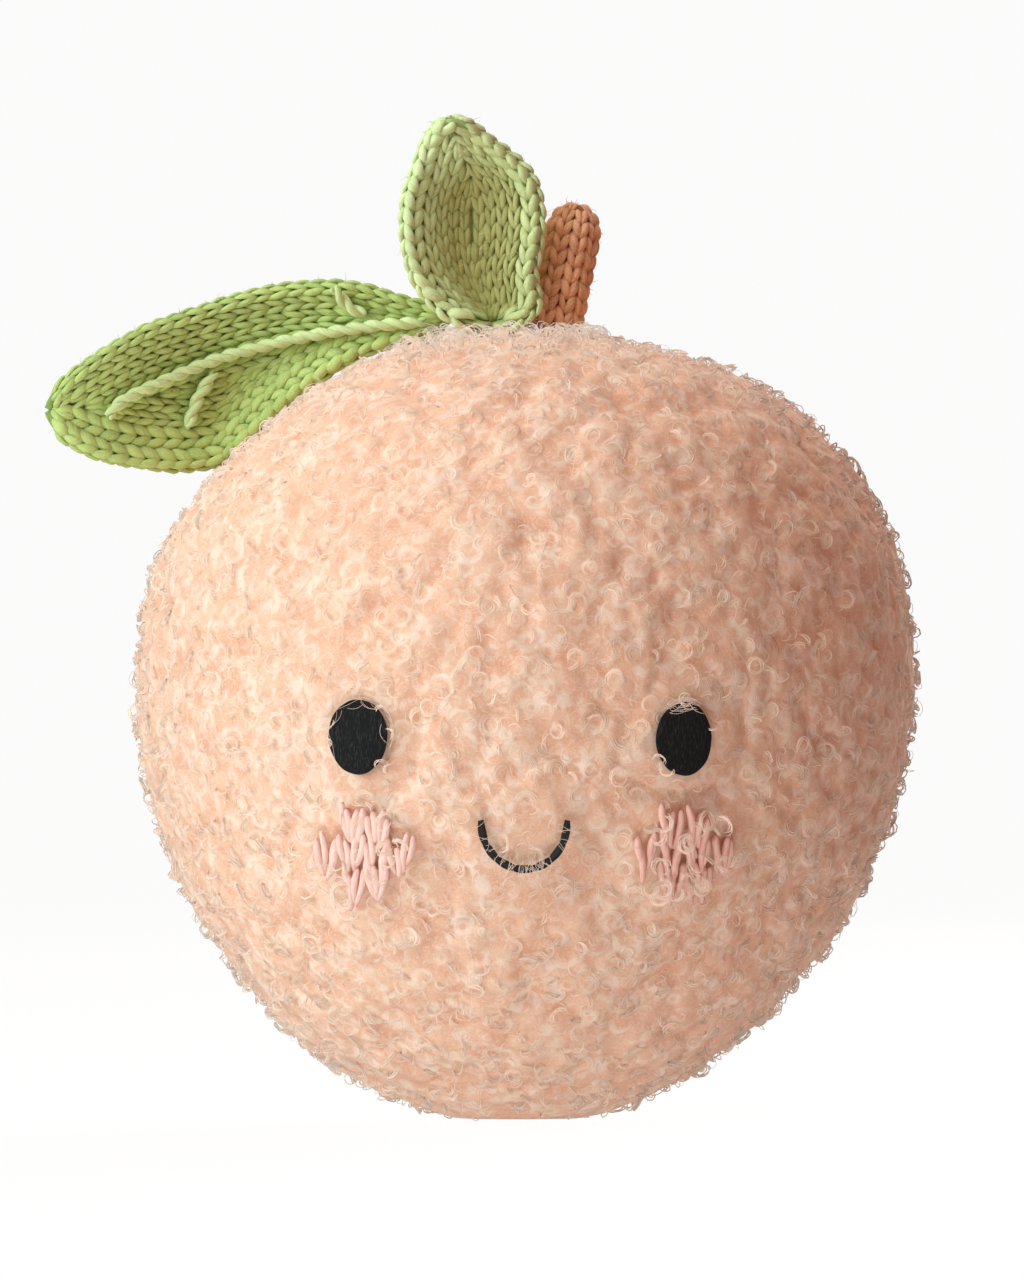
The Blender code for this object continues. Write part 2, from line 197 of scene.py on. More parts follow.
# %% Body values
BODY_HALF_WIDTH, BODY_HALF_DEPTH = 75.0, 70.5
BODY_UPPER, BODY_LOWER = 67.0, 85.0
UPPER_POWER, LOWER_POWER = 2.3, 1.9
BODY_CENTRE_Z, BODY_LEAN = 83.4, 0.014
DENT_CENTRE, DENT_DEPTH, DENT_RADIUS = (-53.0, 5.0, 130.0), 4.8, 20.0
EYES = {"eye_left": (-31.4, 73.8, 5.55, 7.05), "eye_right": (29.6, 73.4, 5.25, 6.95)}
CHEEKS = {"cheek_left": (-30.2, 51.6), "cheek_right": (29.6, 51.4)}
MOUTH_X, MOUTH_Z, MOUTH_HALF_WIDTH, MOUTH_DROP = -0.3, 57.6, 8.1, 8.7
GAP = 0.35


def dent_at(points):
    """The dent's depth times e to the minus square of the distance to its centre, in dent radii."""
    return DENT_DEPTH * np.exp(-(((points - DENT_CENTRE) / DENT_RADIUS) ** 2).sum(axis=-1))


def front_of_body(x, z):
    """The y of the body's front: its half width at height z gives a circle, squeezed to the body's depth."""
    above = z - BODY_CENTRE_Z
    half = np.where(above > 0, BODY_UPPER, BODY_LOWER)
    power = np.where(above > 0, UPPER_POWER, LOWER_POWER)
    width = BODY_HALF_WIDTH * (1 - np.minimum(1.0, np.abs(above) / half) ** power) ** (1 / power)
    across = x - BODY_LEAN * above
    return -np.sqrt(np.maximum(0.0, width**2 - across**2)) * BODY_HALF_DEPTH / BODY_HALF_WIDTH


FORWARD = np.array((0.0, -1.0, 0.0))


def on_face(x, z, lift=0.0):
    """The point of the body's front at x and z, brought forward by lift."""
    return np.stack([x, front_of_body(x, z) - lift, z], axis=-1)


def body_grid(steps, sides, inset):
    """Rings from bottom to top, at reach ((across / width)^p + (|z| / half)^p)^(-1 / p) in each direction."""
    down = np.linspace(0.02, np.pi - 0.02, steps)[:, None]
    around = FULL_TURN * np.arange(sides)[None] / sides
    across, rise = np.sin(down), -np.cos(down)
    half, power = np.where(rise > 0, BODY_UPPER, BODY_LOWER), np.where(rise > 0, UPPER_POWER, LOWER_POWER)
    reach = ((across / BODY_HALF_WIDTH) ** power + (np.abs(rise) / half) ** power) ** (-1 / power)
    way = np.stack([across * np.cos(around), across * np.sin(around), rise + 0 * around], axis=-1)
    points = way * reach[..., None] * (1, BODY_HALF_DEPTH / BODY_HALF_WIDTH, 1)
    points[..., 2] += BODY_CENTRE_Z
    points[..., 0] += BODY_LEAN * (points[..., 2] - BODY_CENTRE_Z)
    points -= way * (inset + dent_at(points))[..., None]
    return points[None]


# %% [markdown]
# ## Colours and materials
# Every yarn here is matt and a little downy. Two things make wool look like wool: fine fibres that run round
# the yarn, and painted shade: colour that is deeper low between the yarns, where light has bounced from fibre
# to fibre, and paler on top. The first comes from the yarn marks, the painted shade from a rise mark that
# each piece carries, and from a shade mark where a piece has one.


# %% Node helpers
def link_nodes(tree, kind, settings=None, **inputs):
    """Add a node, set its settings and its inputs, and link each input that is given as another socket."""
    node = tree.nodes.new(kind)
    for key, value in (settings or {}).items():
        setattr(node, key, value)
    for key, value in inputs.items():
        socket = node.inputs[int(key[1:]) if key[1:].isdigit() else key.replace("_", " ")]
        if isinstance(value, bpy.types.NodeSocket):
            tree.links.new(value, socket)
        else:
            socket.default_value = value
    return node


def math_node(tree, operation, first, second, clamp=False):
    """One sum of two values, kept between 0 and 1 where clamp is set."""
    return link_nodes(tree, "ShaderNodeMath", {"operation": operation, "use_clamp": clamp},
                      i0=first, i1=second).outputs[0]


def blend_node(tree, share, first, second, kind="MIX"):
    """first * (1 - share) + second * share, or with MULTIPLY, first * (1 - share + second * share)."""
    settings = {"data_type": "RGBA", "blend_type": kind, "clamp_factor": True}
    return link_nodes(tree, "ShaderNodeMix", settings, i0=share, i6=first, i7=second).outputs[2]


# %% The group that spins fibres
def make_fibre_group():
    """Noise on the yarn marks, squeezed around the yarn and stretched along it, is the fibres.

    Tone = 0.5 + (fibres - 0.5) * fibre share + (rise - 0.5) * rise share + (tint - 0.5) * tint share.
    """
    group = bpy.data.node_groups.new("spun_fibres", "ShaderNodeTree")
    for name, kind in (("Yarn", "Vector"), ("Look", "Vector"), ("Across", "Float"), ("Along", "Float"),
                       ("Fibre Share", "Float"), ("Rise Share", "Float"), ("Tint Share", "Float")):
        group.interface.new_socket(name, in_out="INPUT", socket_type="NodeSocket" + kind)
    for name in ("Tone", "Height", "Shade"):
        group.interface.new_socket(name, in_out="OUTPUT", socket_type="NodeSocketFloat")
    given = group.nodes.new("NodeGroupInput").outputs
    across = given["Across"]
    stretch = link_nodes(group, "ShaderNodeCombineXYZ", X=across, Y=across, Z=given["Along"])
    laid = link_nodes(group, "ShaderNodeVectorMath", {"operation": "MULTIPLY"},
                      i0=given["Yarn"], i1=stretch.outputs[0])
    fibres = link_nodes(group, "ShaderNodeTexNoise", Vector=laid.outputs[0], Scale=1.0, Detail=3.0,
                        Roughness=0.6)
    split = link_nodes(group, "ShaderNodeSeparateXYZ", Vector=given["Look"])
    fibre = math_node(group, "SUBTRACT", fibres.outputs[0], 0.5)
    tone = math_node(group, "MULTIPLY", fibre, given["Fibre Share"])
    # The rise mark's term is painted shade: deeper low between the yarns, paler on top.
    above = math_node(group, "SUBTRACT", split.outputs[0], 0.5)
    rise = math_node(group, "MULTIPLY", above, given["Rise Share"])
    paler = math_node(group, "SUBTRACT", split.outputs[1], 0.5)
    tint = math_node(group, "MULTIPLY", paler, given["Tint Share"])
    total = math_node(group, "ADD", math_node(group, "ADD", tone, rise), math_node(group, "ADD", tint, 0.5),
                      True)
    put = group.nodes.new("NodeGroupOutput")
    group.links.new(total, put.inputs["Tone"])
    group.links.new(fibres.outputs[0], put.inputs["Height"])
    # The shade mark passes through as Shade: a share of painted shade.
    group.links.new(split.outputs[2], put.inputs["Shade"])
    return group


FIBRES = make_fibre_group()


# %% Materials and their own sockets
def new_material(name):
    """A material that uses nodes, with its node tree and its one shader."""
    material = bpy.data.materials.new(name)
    material.use_nodes = True
    return material, material.node_tree, material.node_tree.nodes["Principled BSDF"]


def set_sockets(shader, **values):
    """Put each value on the shader's own socket, whose name has a space for each _ of the value's name."""
    for name, value in values.items():
        shader.inputs[name.replace("_", " ")].default_value = value


def set_wool(shader, sheen, sheen_roughness=0.5):
    """Matt and downy: almost no gloss, and a soft warm sheen."""
    set_sockets(shader, Roughness=0.9, Specular_IOR_Level=0.12, Sheen_Weight=sheen,
                Sheen_Roughness=sheen_roughness, Sheen_Tint=(1.0, 0.9, 0.8, 1.0))


def link_look(tree, shader, colour, height, strength, distance):
    """Link the colour, and normals from a bump: strength is its share, and distance its height in mm."""
    raised = link_nodes(tree, "ShaderNodeBump", Strength=strength, Distance=distance * MM, Height=height)
    tree.links.new(colour, shader.inputs["Base Color"])
    tree.links.new(raised.outputs[0], shader.inputs["Normal"])


# %% Yarn materials
FIBRE_RELIEF = 0.2


def yarn_material(name, deep, pale, shaded=None, across=5.0, along=0.5, fibre=2.0, rise=0.8, tint=0.4,
                  bump=0.5, sheen=0.12):
    """Deep to pale colour by the fibre group's tone, its fibres raised by a bump, and a soft sheen.

    Where the shade mark is 1, the colour is multiplied by the shaded colour: painted shade, as is the rise
    share.
    """
    material, tree, shader = new_material(name)
    yarn = link_nodes(tree, "ShaderNodeAttribute", {"attribute_name": "yarn"})
    look = link_nodes(tree, "ShaderNodeAttribute", {"attribute_name": "look"})
    fibres = link_nodes(tree, "ShaderNodeGroup", {"node_tree": FIBRES}, Yarn=yarn.outputs["Vector"],
                        Look=look.outputs["Vector"], Across=across, Along=along, Fibre_Share=fibre,
                        Rise_Share=rise, Tint_Share=tint)
    colour = blend_node(tree, fibres.outputs["Tone"], (*deep, 1.0), (*pale, 1.0))
    if shaded:
        colour = blend_node(tree, fibres.outputs["Shade"], colour, (*shaded, 1.0), "MULTIPLY")
    link_look(tree, shader, colour, fibres.outputs["Height"], bump, FIBRE_RELIEF)
    set_wool(shader, sheen)
    return material


# %% Curls drawn on the cover
def smooth_share(tree, value, none_at, all_at):
    """0 where the value is at none_at or past it, 1 at all_at or past it, and eased between."""
    return link_nodes(tree, "ShaderNodeMapRange", {"interpolation_type": "SMOOTHSTEP"},
                      i0=value, i1=none_at, i2=all_at).outputs[0]


def shifted(tree, place, shift):
    """The place moved by shift, twice shift and three times shift, so that no two layers lie together."""
    return link_nodes(tree, "ShaderNodeMapping", Vector=place,
                      Location=(shift, 2 * shift, 3 * shift)).outputs[0]


def way_node(tree, start, end):
    """The way from start to end, divided by its length."""
    way = link_nodes(tree, "ShaderNodeVectorMath", {"operation": "SUBTRACT"}, i0=end, i1=start)
    return link_nodes(tree, "ShaderNodeVectorMath", {"operation": "NORMALIZE"}, i0=way.outputs[0]).outputs[0]


def distance_node(tree, value, middle):
    """How far the value is from the middle, on either side."""
    return math_node(tree, "ABSOLUTE", math_node(tree, "SUBTRACT", value, middle), 0.0)


STREAKS_PER_CELL = 22.0


def tuft_layer(tree, place, pitch, shift, thickness):
    """Crescents round scattered centres: distance near the centre's own radius, on the centre's own side.

    Their streaks are noise on that distance, so that they run round the crescent as its fibres do.
    """
    moved = shifted(tree, place, shift)
    cells = link_nodes(tree, "ShaderNodeTexVoronoi", Vector=moved, Scale=1 / (pitch * MM))
    own = link_nodes(tree, "ShaderNodeSeparateColor", Color=cells.outputs["Color"])
    radius = math_node(tree, "ADD", math_node(tree, "MULTIPLY", own.outputs[0], 0.24), 0.2)
    off_ring = distance_node(tree, cells.outputs["Distance"], radius)
    ring = smooth_share(tree, off_ring, thickness, 0.3 * thickness)
    outwards = way_node(tree, cells.outputs["Position"], moved)
    chosen = way_node(tree, (0.5, 0.5, 0.5), cells.outputs["Color"])
    facing = link_nodes(tree, "ShaderNodeVectorMath", {"operation": "DOT_PRODUCT"}, i0=outwards, i1=chosen)
    arc = smooth_share(tree, facing.outputs["Value"], -0.5, 0.2)
    ply = link_nodes(tree, "ShaderNodeCombineXYZ",
                     X=math_node(tree, "MULTIPLY", cells.outputs["Distance"], STREAKS_PER_CELL),
                     Y=math_node(tree, "MULTIPLY", own.outputs[1], 60.0))
    streak = link_nodes(tree, "ShaderNodeTexNoise", Vector=ply.outputs[0], Scale=1.0,
                        Detail=1.0).outputs[0]
    streak = smooth_share(tree, streak, 0.25, 0.65)
    return math_node(tree, "MULTIPLY", math_node(tree, "MULTIPLY", ring, arc),
                     math_node(tree, "ADD", math_node(tree, "MULTIPLY", streak, 0.7), 0.3))


def frizz_layer(tree, place, size, shift, lines, thickness):
    """Contour lines of a smooth noise: where noise * lines is near a half, they close into small loops."""
    moved = shifted(tree, place, shift)
    hills = link_nodes(tree, "ShaderNodeTexNoise", Vector=moved, Scale=1 / (size * MM), Detail=1.0,
                       Distortion=0.7).outputs[0]
    level = math_node(tree, "FRACT", math_node(tree, "MULTIPLY", hills, lines), 0.0)
    return smooth_share(tree, distance_node(tree, level, 0.5), thickness, 0.2 * thickness)


# %% The cover's ground
RAISED_PITCH, GROUND_RELIEF = 5.6, 0.5
PATCHES_PER_METRE, CLUMPS_PER_METRE = 330.0, 190.0
# For each layer: the size of a tuft's cell in mm, the layer's shift in metres, and the crescents' thickness.
TUFT_LAYERS = ((4.0, 0.011, 0.17), (4.8, 0.023, 0.16), (5.6, 0.037, 0.15), (6.4, 0.041, 0.13))


def ground_material(deep, middle, pale):
    """Orange down between the curls, frizzy loops over it, and layers of drawn tufts on top.

    The down goes from deep to middle by 1.4 * patches + 0.8 * (rise mark - 1) + 0.3 * clump, where the rise
    mark's term is painted shade, deeper in the cover's dips. Loops and tufts then go towards pale by their
    own shares, and the bump is the patches plus one layer of tufts.
    """
    material, tree, shader = new_material("curly_ground")
    place = link_nodes(tree, "ShaderNodeTexCoord").outputs["Object"]
    patches = link_nodes(tree, "ShaderNodeTexNoise", Vector=place, Scale=PATCHES_PER_METRE, Detail=2.0,
                         Roughness=0.6, Distortion=0.8).outputs[0]
    clumps = link_nodes(tree, "ShaderNodeTexNoise", Vector=place, Scale=CLUMPS_PER_METRE,
                        Detail=1.0).outputs[0]
    clump = smooth_share(tree, clumps, 0.36, 0.6)
    look = link_nodes(tree, "ShaderNodeAttribute", {"attribute_name": "look"})
    # The rise mark is low in the cover's dips, which gives painted shade there.
    low = link_nodes(tree, "ShaderNodeSeparateXYZ", Vector=look.outputs["Vector"]).outputs[0]
    share = math_node(tree, "ADD", math_node(tree, "MULTIPLY", patches, 1.4),
                      math_node(tree, "SUBTRACT", math_node(tree, "MULTIPLY", low, 0.8), 0.8))
    share = math_node(tree, "ADD", share, math_node(tree, "MULTIPLY", clump, 0.3), True)
    colour = blend_node(tree, share, (*deep, 1.0), (*middle, 1.0))
    frizz = frizz_layer(tree, place, 2.0, 0.013, 6.0, 0.2)
    colour = blend_node(tree, math_node(tree, "MULTIPLY", frizz, 0.4), colour, (*pale, 1.0))
    height = patches
    strength = math_node(tree, "ADD", math_node(tree, "MULTIPLY", clump, 0.5), 0.32)
    for pitch, shift, thickness in TUFT_LAYERS:
        tuft = tuft_layer(tree, place, pitch, shift, thickness)
        colour = blend_node(tree, math_node(tree, "MULTIPLY", tuft, strength), colour, (*pale, 1.0))
        height = math_node(tree, "ADD", height, tuft) if pitch == RAISED_PITCH else height
    link_look(tree, shader, colour, height, 0.4, GROUND_RELIEF)
    set_wool(shader, 0.55, 0.3)
    return material


# %% Every colour of the toy but the felt's
# The ground's patches vary between deep and middle at random. The rise marks also push the low parts of the
# ground and the curls towards the deeper colours, as painted shade.
CURL_DEEP, CURL_MIDDLE, CURL_PALE = (0.74, 0.36, 0.225), (0.82, 0.51, 0.355), (0.88, 0.68, 0.54)
curly_ground = ground_material(CURL_DEEP, CURL_MIDDLE, CURL_PALE)
curl_wool = yarn_material("curly_mohair", CURL_MIDDLE, (0.95, 0.73, 0.60), across=2.2, along=0.9, fibre=0.8,
                          rise=0.6, tint=0.6, bump=0.1, sheen=0.35)
# A yarn's third colour is its painted shade, multiplied in where the shade mark is 1: the upright leaf's cup,
# the drooping leaf's hollow and the right cheek.
light_green = yarn_material("light_green_wool", (0.39, 0.50, 0.18), (0.76, 0.88, 0.46), (0.68, 0.58, 0.42))
dark_green = yarn_material("dark_green_wool", (0.24, 0.34, 0.08), (0.55, 0.68, 0.23), (1.0, 1.0, 0.97))
vein_green = yarn_material("vein_wool", (0.38, 0.48, 0.17), (0.72, 0.84, 0.42))
brown = yarn_material("brown_wool", (0.34, 0.13, 0.06), (0.98, 0.55, 0.31))
pink = yarn_material("pink_wool", (0.80, 0.40, 0.34), (0.95, 0.64, 0.55), (0.95, 0.84, 0.80))
black_thread = yarn_material("black_cotton", (0.004, 0.004, 0.004), (0.04, 0.038, 0.036))
print("materials:", [material.name for material in bpy.data.materials])

# %% [markdown]
# ## The stuffed cover
# The knitted cover is blown up by its filling and held back wherever something is sewn to it. That is a
# cloth under pressure with some points pinned, so Blender's cloth does it: an even mesh a little inside the
# final size, pressed outwards for twenty frames, with no point allowed to move further than the real fabric
# gives. After that come the lumps that the yarn makes, as distance to scattered points.

# %% Cover values
COVER_INSET = 2.4
COVER_VOXEL = 4.6
COVER_FRAMES = 20
COVER_PRESSURE = 7000.0
COVER_GIVE = 1.2
SEWN_INSET = 0.8
COVER_LOWEST = 0.8
HOLD_LEVELS = 10
LUMP_PITCH, LUMP_HEIGHT = 9.0, 1.6
CURL_PITCH, CURL_HEIGHT = 3.4, 1.1
COVER_RISE = 0.9
EYE_HOLD, CHEEK_HOLD, MOUTH_HOLD = 9.0, 11.0, 11.0
CROWN_SEAM, SEAM_HELD, SEAM_FREE = (-4.0, 3.0), 14.0, 22.0


def sewn_at(points):
    """1 where the face, the stem, the leaves or the toy's weight hold the cover, and 0 where it is free."""
    in_front = points[:, 1] < 0
    marks = [(x, z, EYE_HOLD) for x, z, _, _ in EYES.values()]
    marks += [(x, z, CHEEK_HOLD) for x, z in CHEEKS.values()]
    marks.append((MOUTH_X, MOUTH_Z - MOUTH_DROP / 2, MOUTH_HOLD))
    held = np.zeros(len(points))
    for x, z, radius in marks:
        near = np.hypot(points[:, 0] - x, points[:, 2] - z)
        held = np.maximum(held, in_front * (1 - ease(0.85 * radius, 1.35 * radius, near)))
    crown = np.hypot(points[:, 0] - CROWN_SEAM[0], points[:, 1] - CROWN_SEAM[1])
    held = np.maximum(held, (points[:, 2] > BODY_CENTRE_Z) * (1 - ease(SEAM_HELD, SEAM_FREE, crown)))
    held = np.maximum(held, ease(0.3, 0.7, dent_at(points) / DENT_DEPTH))
    return np.maximum(held, 1 - ease(SEAM_HELD, SEAM_FREE, np.linalg.norm(points, axis=1)))


# %% Read and replace meshes
def points_of(mesh):
    """The mesh's points in millimetres."""
    values = np.empty(3 * len(mesh.vertices), dtype=np.float32)
    mesh.vertices.foreach_get("co", values)
    return values.reshape(-1, 3).astype(float) / MM


def normals_of(mesh):
    """The way out at each of the mesh's points."""
    values = np.empty(3 * len(mesh.vertices), dtype=np.float32)
    mesh.vertex_normals.foreach_get("vector", values)
    return values.reshape(-1, 3).astype(float)


def apply_modifiers(thing):
    """Put the mesh that the modifiers make in the place of the thing's own."""
    seen = thing.evaluated_get(bpy.context.evaluated_depsgraph_get())
    mesh = bpy.data.meshes.new_from_object(seen)
    thing.modifiers.clear()
    thing.data = mesh
    return mesh


# %% Inflate the cover
cover = add_piece("cover", [closed_skin(body_grid(60, 96, COVER_INSET))], curly_ground, "curly_yarn", "body")
even = cover.modifiers.new("even mesh", "REMESH")
even.mode = "VOXEL"
even.voxel_size = COVER_VOXEL * MM
cover_mesh = apply_modifiers(cover)
before = points_of(cover_mesh)
held = sewn_at(before)
group = cover.vertex_groups.new(name="sewn")
for level in range(1, HOLD_LEVELS + 1):
    at_level = np.flatnonzero(np.round(held * HOLD_LEVELS) == level)
    group.add(at_level.tolist(), level / HOLD_LEVELS, "REPLACE")
cloth = cover.modifiers.new("filling", "CLOTH")
cloth.settings.use_pressure = True
cloth.settings.uniform_pressure_force = COVER_PRESSURE
cloth.settings.effector_weights.gravity = 0.0
cloth.settings.vertex_group_mass = "sewn"
for number in range(1, COVER_FRAMES + 1):
    bpy.context.scene.frame_set(number)
seen = cover.evaluated_get(bpy.context.evaluated_depsgraph_get())
moved = points_of(seen.data) - before
cover.modifiers.clear()
cover.vertex_groups.clear()
outward = (moved * normals_of(cover_mesh)).sum(axis=1)
free = outward[held < 0.1]
length = np.linalg.norm(moved, axis=1, keepdims=True)
moved *= np.minimum(1.0, COVER_GIVE / np.maximum(length, 1e-6)) * (1 - held[:, None])
print("the filling pushed the free cover out by", free.min(), "to", free.max(), "mm, and by",
      free.mean(), "mm on average, which the fabric holds to", COVER_GIVE)
cover_mesh.vertices.foreach_set("co", ((before + moved) * MM).astype(np.float32).ravel())

# %% Lumps on the cover
smooth = cover.modifiers.new("smooth", "SUBSURF")
smooth.levels = smooth.render_levels = 2
cover_mesh = apply_modifiers(cover)
ground = points_of(cover_mesh)
sewn = sewn_at(ground)[:, None]
# The dips between the lumps get a low rise mark, so the ground is deeper there: painted shade in the hollows.
dip = LUMP_HEIGHT * (1 - domes(ground, LUMP_PITCH, 11)) + CURL_HEIGHT * (1 - domes(ground, CURL_PITCH, 12))
tone = 1 - (dip - dip.min()) / (dip.max() - dip.min())
lift = (COVER_RISE - dip)[:, None] * (1 - 0.8 * sewn) + (COVER_INSET - SEWN_INSET) * sewn
ground = ground + normals_of(cover_mesh) * lift
ground[:, 2] = np.maximum(ground[:, 2], COVER_LOWEST)
cover_mesh.vertices.foreach_set("co", (ground * MM).astype(np.float32).ravel())
for mark, values in (("yarn", ground), ("look", np.stack([tone, tone, tone], axis=-1))):
    if mark in cover_mesh.attributes:
        cover_mesh.attributes.remove(cover_mesh.attributes[mark])
    cover_mesh.attributes.new(mark, "FLOAT_VECTOR", "POINT").data.foreach_set(
        "vector", values.astype(np.float32).ravel())
cover_mesh.polygons.foreach_set("use_smooth", np.ones(len(cover_mesh.polygons), dtype=bool))
cover_mesh.update()
print("cover:", len(cover_mesh.polygons) * 2, "triangles")

# %% [markdown]
# ## Where the curls grow
# Curls grow from the finished cover, so their roots are points on its triangles and they know which way is
# out. Random points alone would clump. Throwing many and keeping one in each small cube of space spreads
# them evenly, with no loop.

# %% Roots on the cover
cover_mesh.calc_loop_triangles()
corners = np.empty(3 * len(cover_mesh.loop_triangles), dtype=np.int32)
cover_mesh.loop_triangles.foreach_get("vertices", corners)
corners = corners.reshape(-1, 3)
normals = normals_of(cover_mesh)
sides_of = ground[corners]
areas = np.linalg.norm(np.cross(sides_of[:, 1] - sides_of[:, 0], sides_of[:, 2] - sides_of[:, 0]), axis=1) / 2
print("area of the cover:", round(areas.sum()), "square mm")


def scatter(pitch, rng):
    """Points on the cover with their outward directions: of many random ones, the first in each cube."""
    throws = int(8 * areas.sum() / pitch**2)
    chosen = rng.choice(len(areas), size=throws, p=areas / areas.sum())
    share = np.sort(rng.random((throws, 2)), axis=1)
    weights = np.stack([share[:, 0], share[:, 1] - share[:, 0], 1 - share[:, 1]], axis=1)[..., None]
    roots = (sides_of[chosen] * weights).sum(axis=1)
    _, first = np.unique(np.floor(roots / pitch + rng.random(3)), axis=0, return_index=True)
    return roots[first], unit((normals[corners[chosen]] * weights).sum(axis=1))[first]


# %% Keep the face clear
def off_the_face(points, margin):
    """True where a point is further than margin from the eyes' and the mouth's edges, or behind the face."""
    x, z = points[:, 0], points[:, 2]
    free = np.ones(len(points), dtype=bool)
    for eye_x, eye_z, wide, high in EYES.values():
        free &= np.hypot((x - eye_x) / (wide + margin), (z - eye_z) / (high + margin)) > 1
    smile = np.abs(np.hypot((x - MOUTH_X) / MOUTH_HALF_WIDTH, (z - MOUTH_Z) / MOUTH_DROP) - 1) * MOUTH_DROP
    free &= (smile > margin + 0.6) | (z > MOUTH_Z + 1.0)
    return free | (points[:, 1] > 0)


CHEEK_HALF_WIDTH, CHEEK_HALF_HEIGHT = 10.5, 8.5


def on_the_cheeks(points):
    """True inside either cheek's oval, on the front."""
    near = np.zeros(len(points), dtype=bool)
    for x, z in CHEEKS.values():
        near |= np.hypot((points[:, 0] - x) / CHEEK_HALF_WIDTH, (points[:, 2] - z) / CHEEK_HALF_HEIGHT) < 1
    return near & (points[:, 1] <= 0)


def off_the_cheeks(points, rng, kept):
    """True away from the cheeks, and for a share of the points on them."""
    return ~on_the_cheeks(points) | (rng.random(len(points)) < kept)


# %% [markdown]
# ## Curls
# A curl is a small bundle of fibres bent round part of a circle. Seen from the front it is a ring when its
# axis points out of the toy, and a small arch when its axis lies flat, so one function makes both: only the
# tilt of the axis differs. The fibres wind round each other a little, and both ends dive into the cover.

# %% Make curls
LOWEST_CURL, CURL_TOP, CURL_SIDES = 0.25, 2.6, 3


def curls(roots, out, rng, tilt, arc, radius, lift, fibres, spread, thick, steps, dive):
    """Fibres around centre + reach * (top * cos(angle) + aside * sin(angle)) + axis * slide.

    tilt, arc, radius and lift are low and high limits of random draws, in degrees and mm. The axis is the
    way out turned by tilt, top is the way in the circle's plane that points out most, and aside is square
    to both. The ends dive into the cover by dive * share^5.
    """
    count = len(roots)

    def draw(limits):
        """One random number for each curl, between two limits."""
        return rng.uniform(*limits, size=(count, 1, 1))

    tangent = unit(np.cross(out, rng.normal(size=(count, 3))))[:, None]
    out = out[:, None]
    lean = np.radians(draw(tilt))
    axis = out * np.cos(lean) + tangent * np.sin(lean)
    top = out * np.sin(lean) - tangent * np.cos(lean)
    aside = np.cross(top, axis)
    size, half_arc = draw(radius), np.radians(draw(arc)) / 2
    centre = roots[:, None] + out * draw(lift) * np.cos(lean)
    share = np.linspace(-1, 1, steps)[None, :, None]
    made = []
    for fibre in range(fibres):
        angle = half_arc * (share + rng.normal(0, 0.06, size=(count, 1, 1)))
        wind = FULL_TURN * fibre / fibres + 0.8 * angle + draw((0, 0.9))
        apart = spread * (fibres > 1) * (0.6 + 0.4 * rng.random((count, 1, 1)))
        reach = size * (1 + 0.12 * np.sin(2 * angle + draw((0, 6)))) + apart * np.cos(wind)
        slide = apart * np.sin(wind) + 0.25 * size * share * draw((-1, 1))
        path = centre + reach * (top * np.cos(angle) + aside * np.sin(angle)) + axis * slide
        path = path - out * dive * np.abs(share) ** 5
        path[..., 2] = np.maximum(path[..., 2], LOWEST_CURL + 0.05 * fibre)
        height = ((path - roots[:, None]) * out).sum(axis=-1)
        taper = thick * (1 - 0.45 * share[..., 0] ** 4) * (0.8 + 0.4 * rng.random((count, 1)))
        rings = rings_along(path, axis, taper, taper, CURL_SIDES)
        # Painted shade: each fibre is deeper near its root and paler towards the curl's top.
        rise = np.clip(height / CURL_TOP, 0, 1)
        made.append(closed_skin(rings, 0.0, rng.random(count), rise, way_out=out))
    return made


# %% Plant curls on the cover
def add_curls(name, parts, *stands_for):
    """A piece of curls. A fibre this fine lets most of the light past, so they cast no shadow."""
    add_piece(name, parts, curl_wool, "curly_yarn", *stands_for).visible_shadow = False


CHEEK_COVER = 2.5


def over_the_cheeks(roots, out):
    """Roots on the cheeks brought out by the thickness of the stitches, so that their curls lie over them."""
    return roots + out * CHEEK_COVER * on_the_cheeks(roots)[:, None]


def grow(name, rng, pitch, margin, lowest, on_cheeks=None, **form):
    """Curls from scattered roots that are off the face's edges by margin and not under the toy.

    on_cheeks is the share that is kept over the cheeks. The front's and the back's curls are pieces of their
    own, so that no piece grows too heavy.
    """
    roots, out = scatter(pitch, rng)
    keep = off_the_face(roots, margin) & (roots[:, 2] > lowest)
    if on_cheeks is not None:
        keep &= off_the_cheeks(roots, rng, on_cheeks)
        roots = over_the_cheeks(roots, out)
    for region, chosen in (("front", keep & (roots[:, 1] < 0)), ("back", keep & (roots[:, 1] >= 0))):
        add_curls(f"{name}_{region}", curls(roots[chosen], out[chosen], rng, **form), "body")


# %% Rings, arches, wisps and stray hairs
rng = np.random.default_rng(5)
grow("ring_curls", rng, 11.0, 1.6, 2.5, on_cheeks=1.0, tilt=(0, 40), arc=(260, 400), radius=(1.2, 1.75),
     lift=(0.4, 1.0), fibres=4, spread=0.32, thick=0.13, steps=12, dive=0.9)
grow("arch_curls", rng, 7.0, 1.0, 2.5, on_cheeks=0.6, tilt=(40, 90), arc=(180, 260), radius=(0.9, 1.5),
     lift=(-0.3, 0.1), fibres=3, spread=0.34, thick=0.15, steps=8, dive=0.6)
grow("wisps", rng, 5.3, 0.3, 1.5, on_cheeks=0.8, tilt=(10, 75), arc=(130, 260), radius=(0.8, 1.7),
     lift=(-0.1, 0.5), fibres=1, spread=0.0, thick=0.13, steps=7, dive=0.8)
grow("stray_hairs", rng, 8.0, 0.2, 4.0, tilt=(20, 85), arc=(80, 200), radius=(1.3, 2.2),
     lift=(-0.7, 0.1), fibres=1, spread=0.0, thick=0.06, steps=6, dive=1.6)

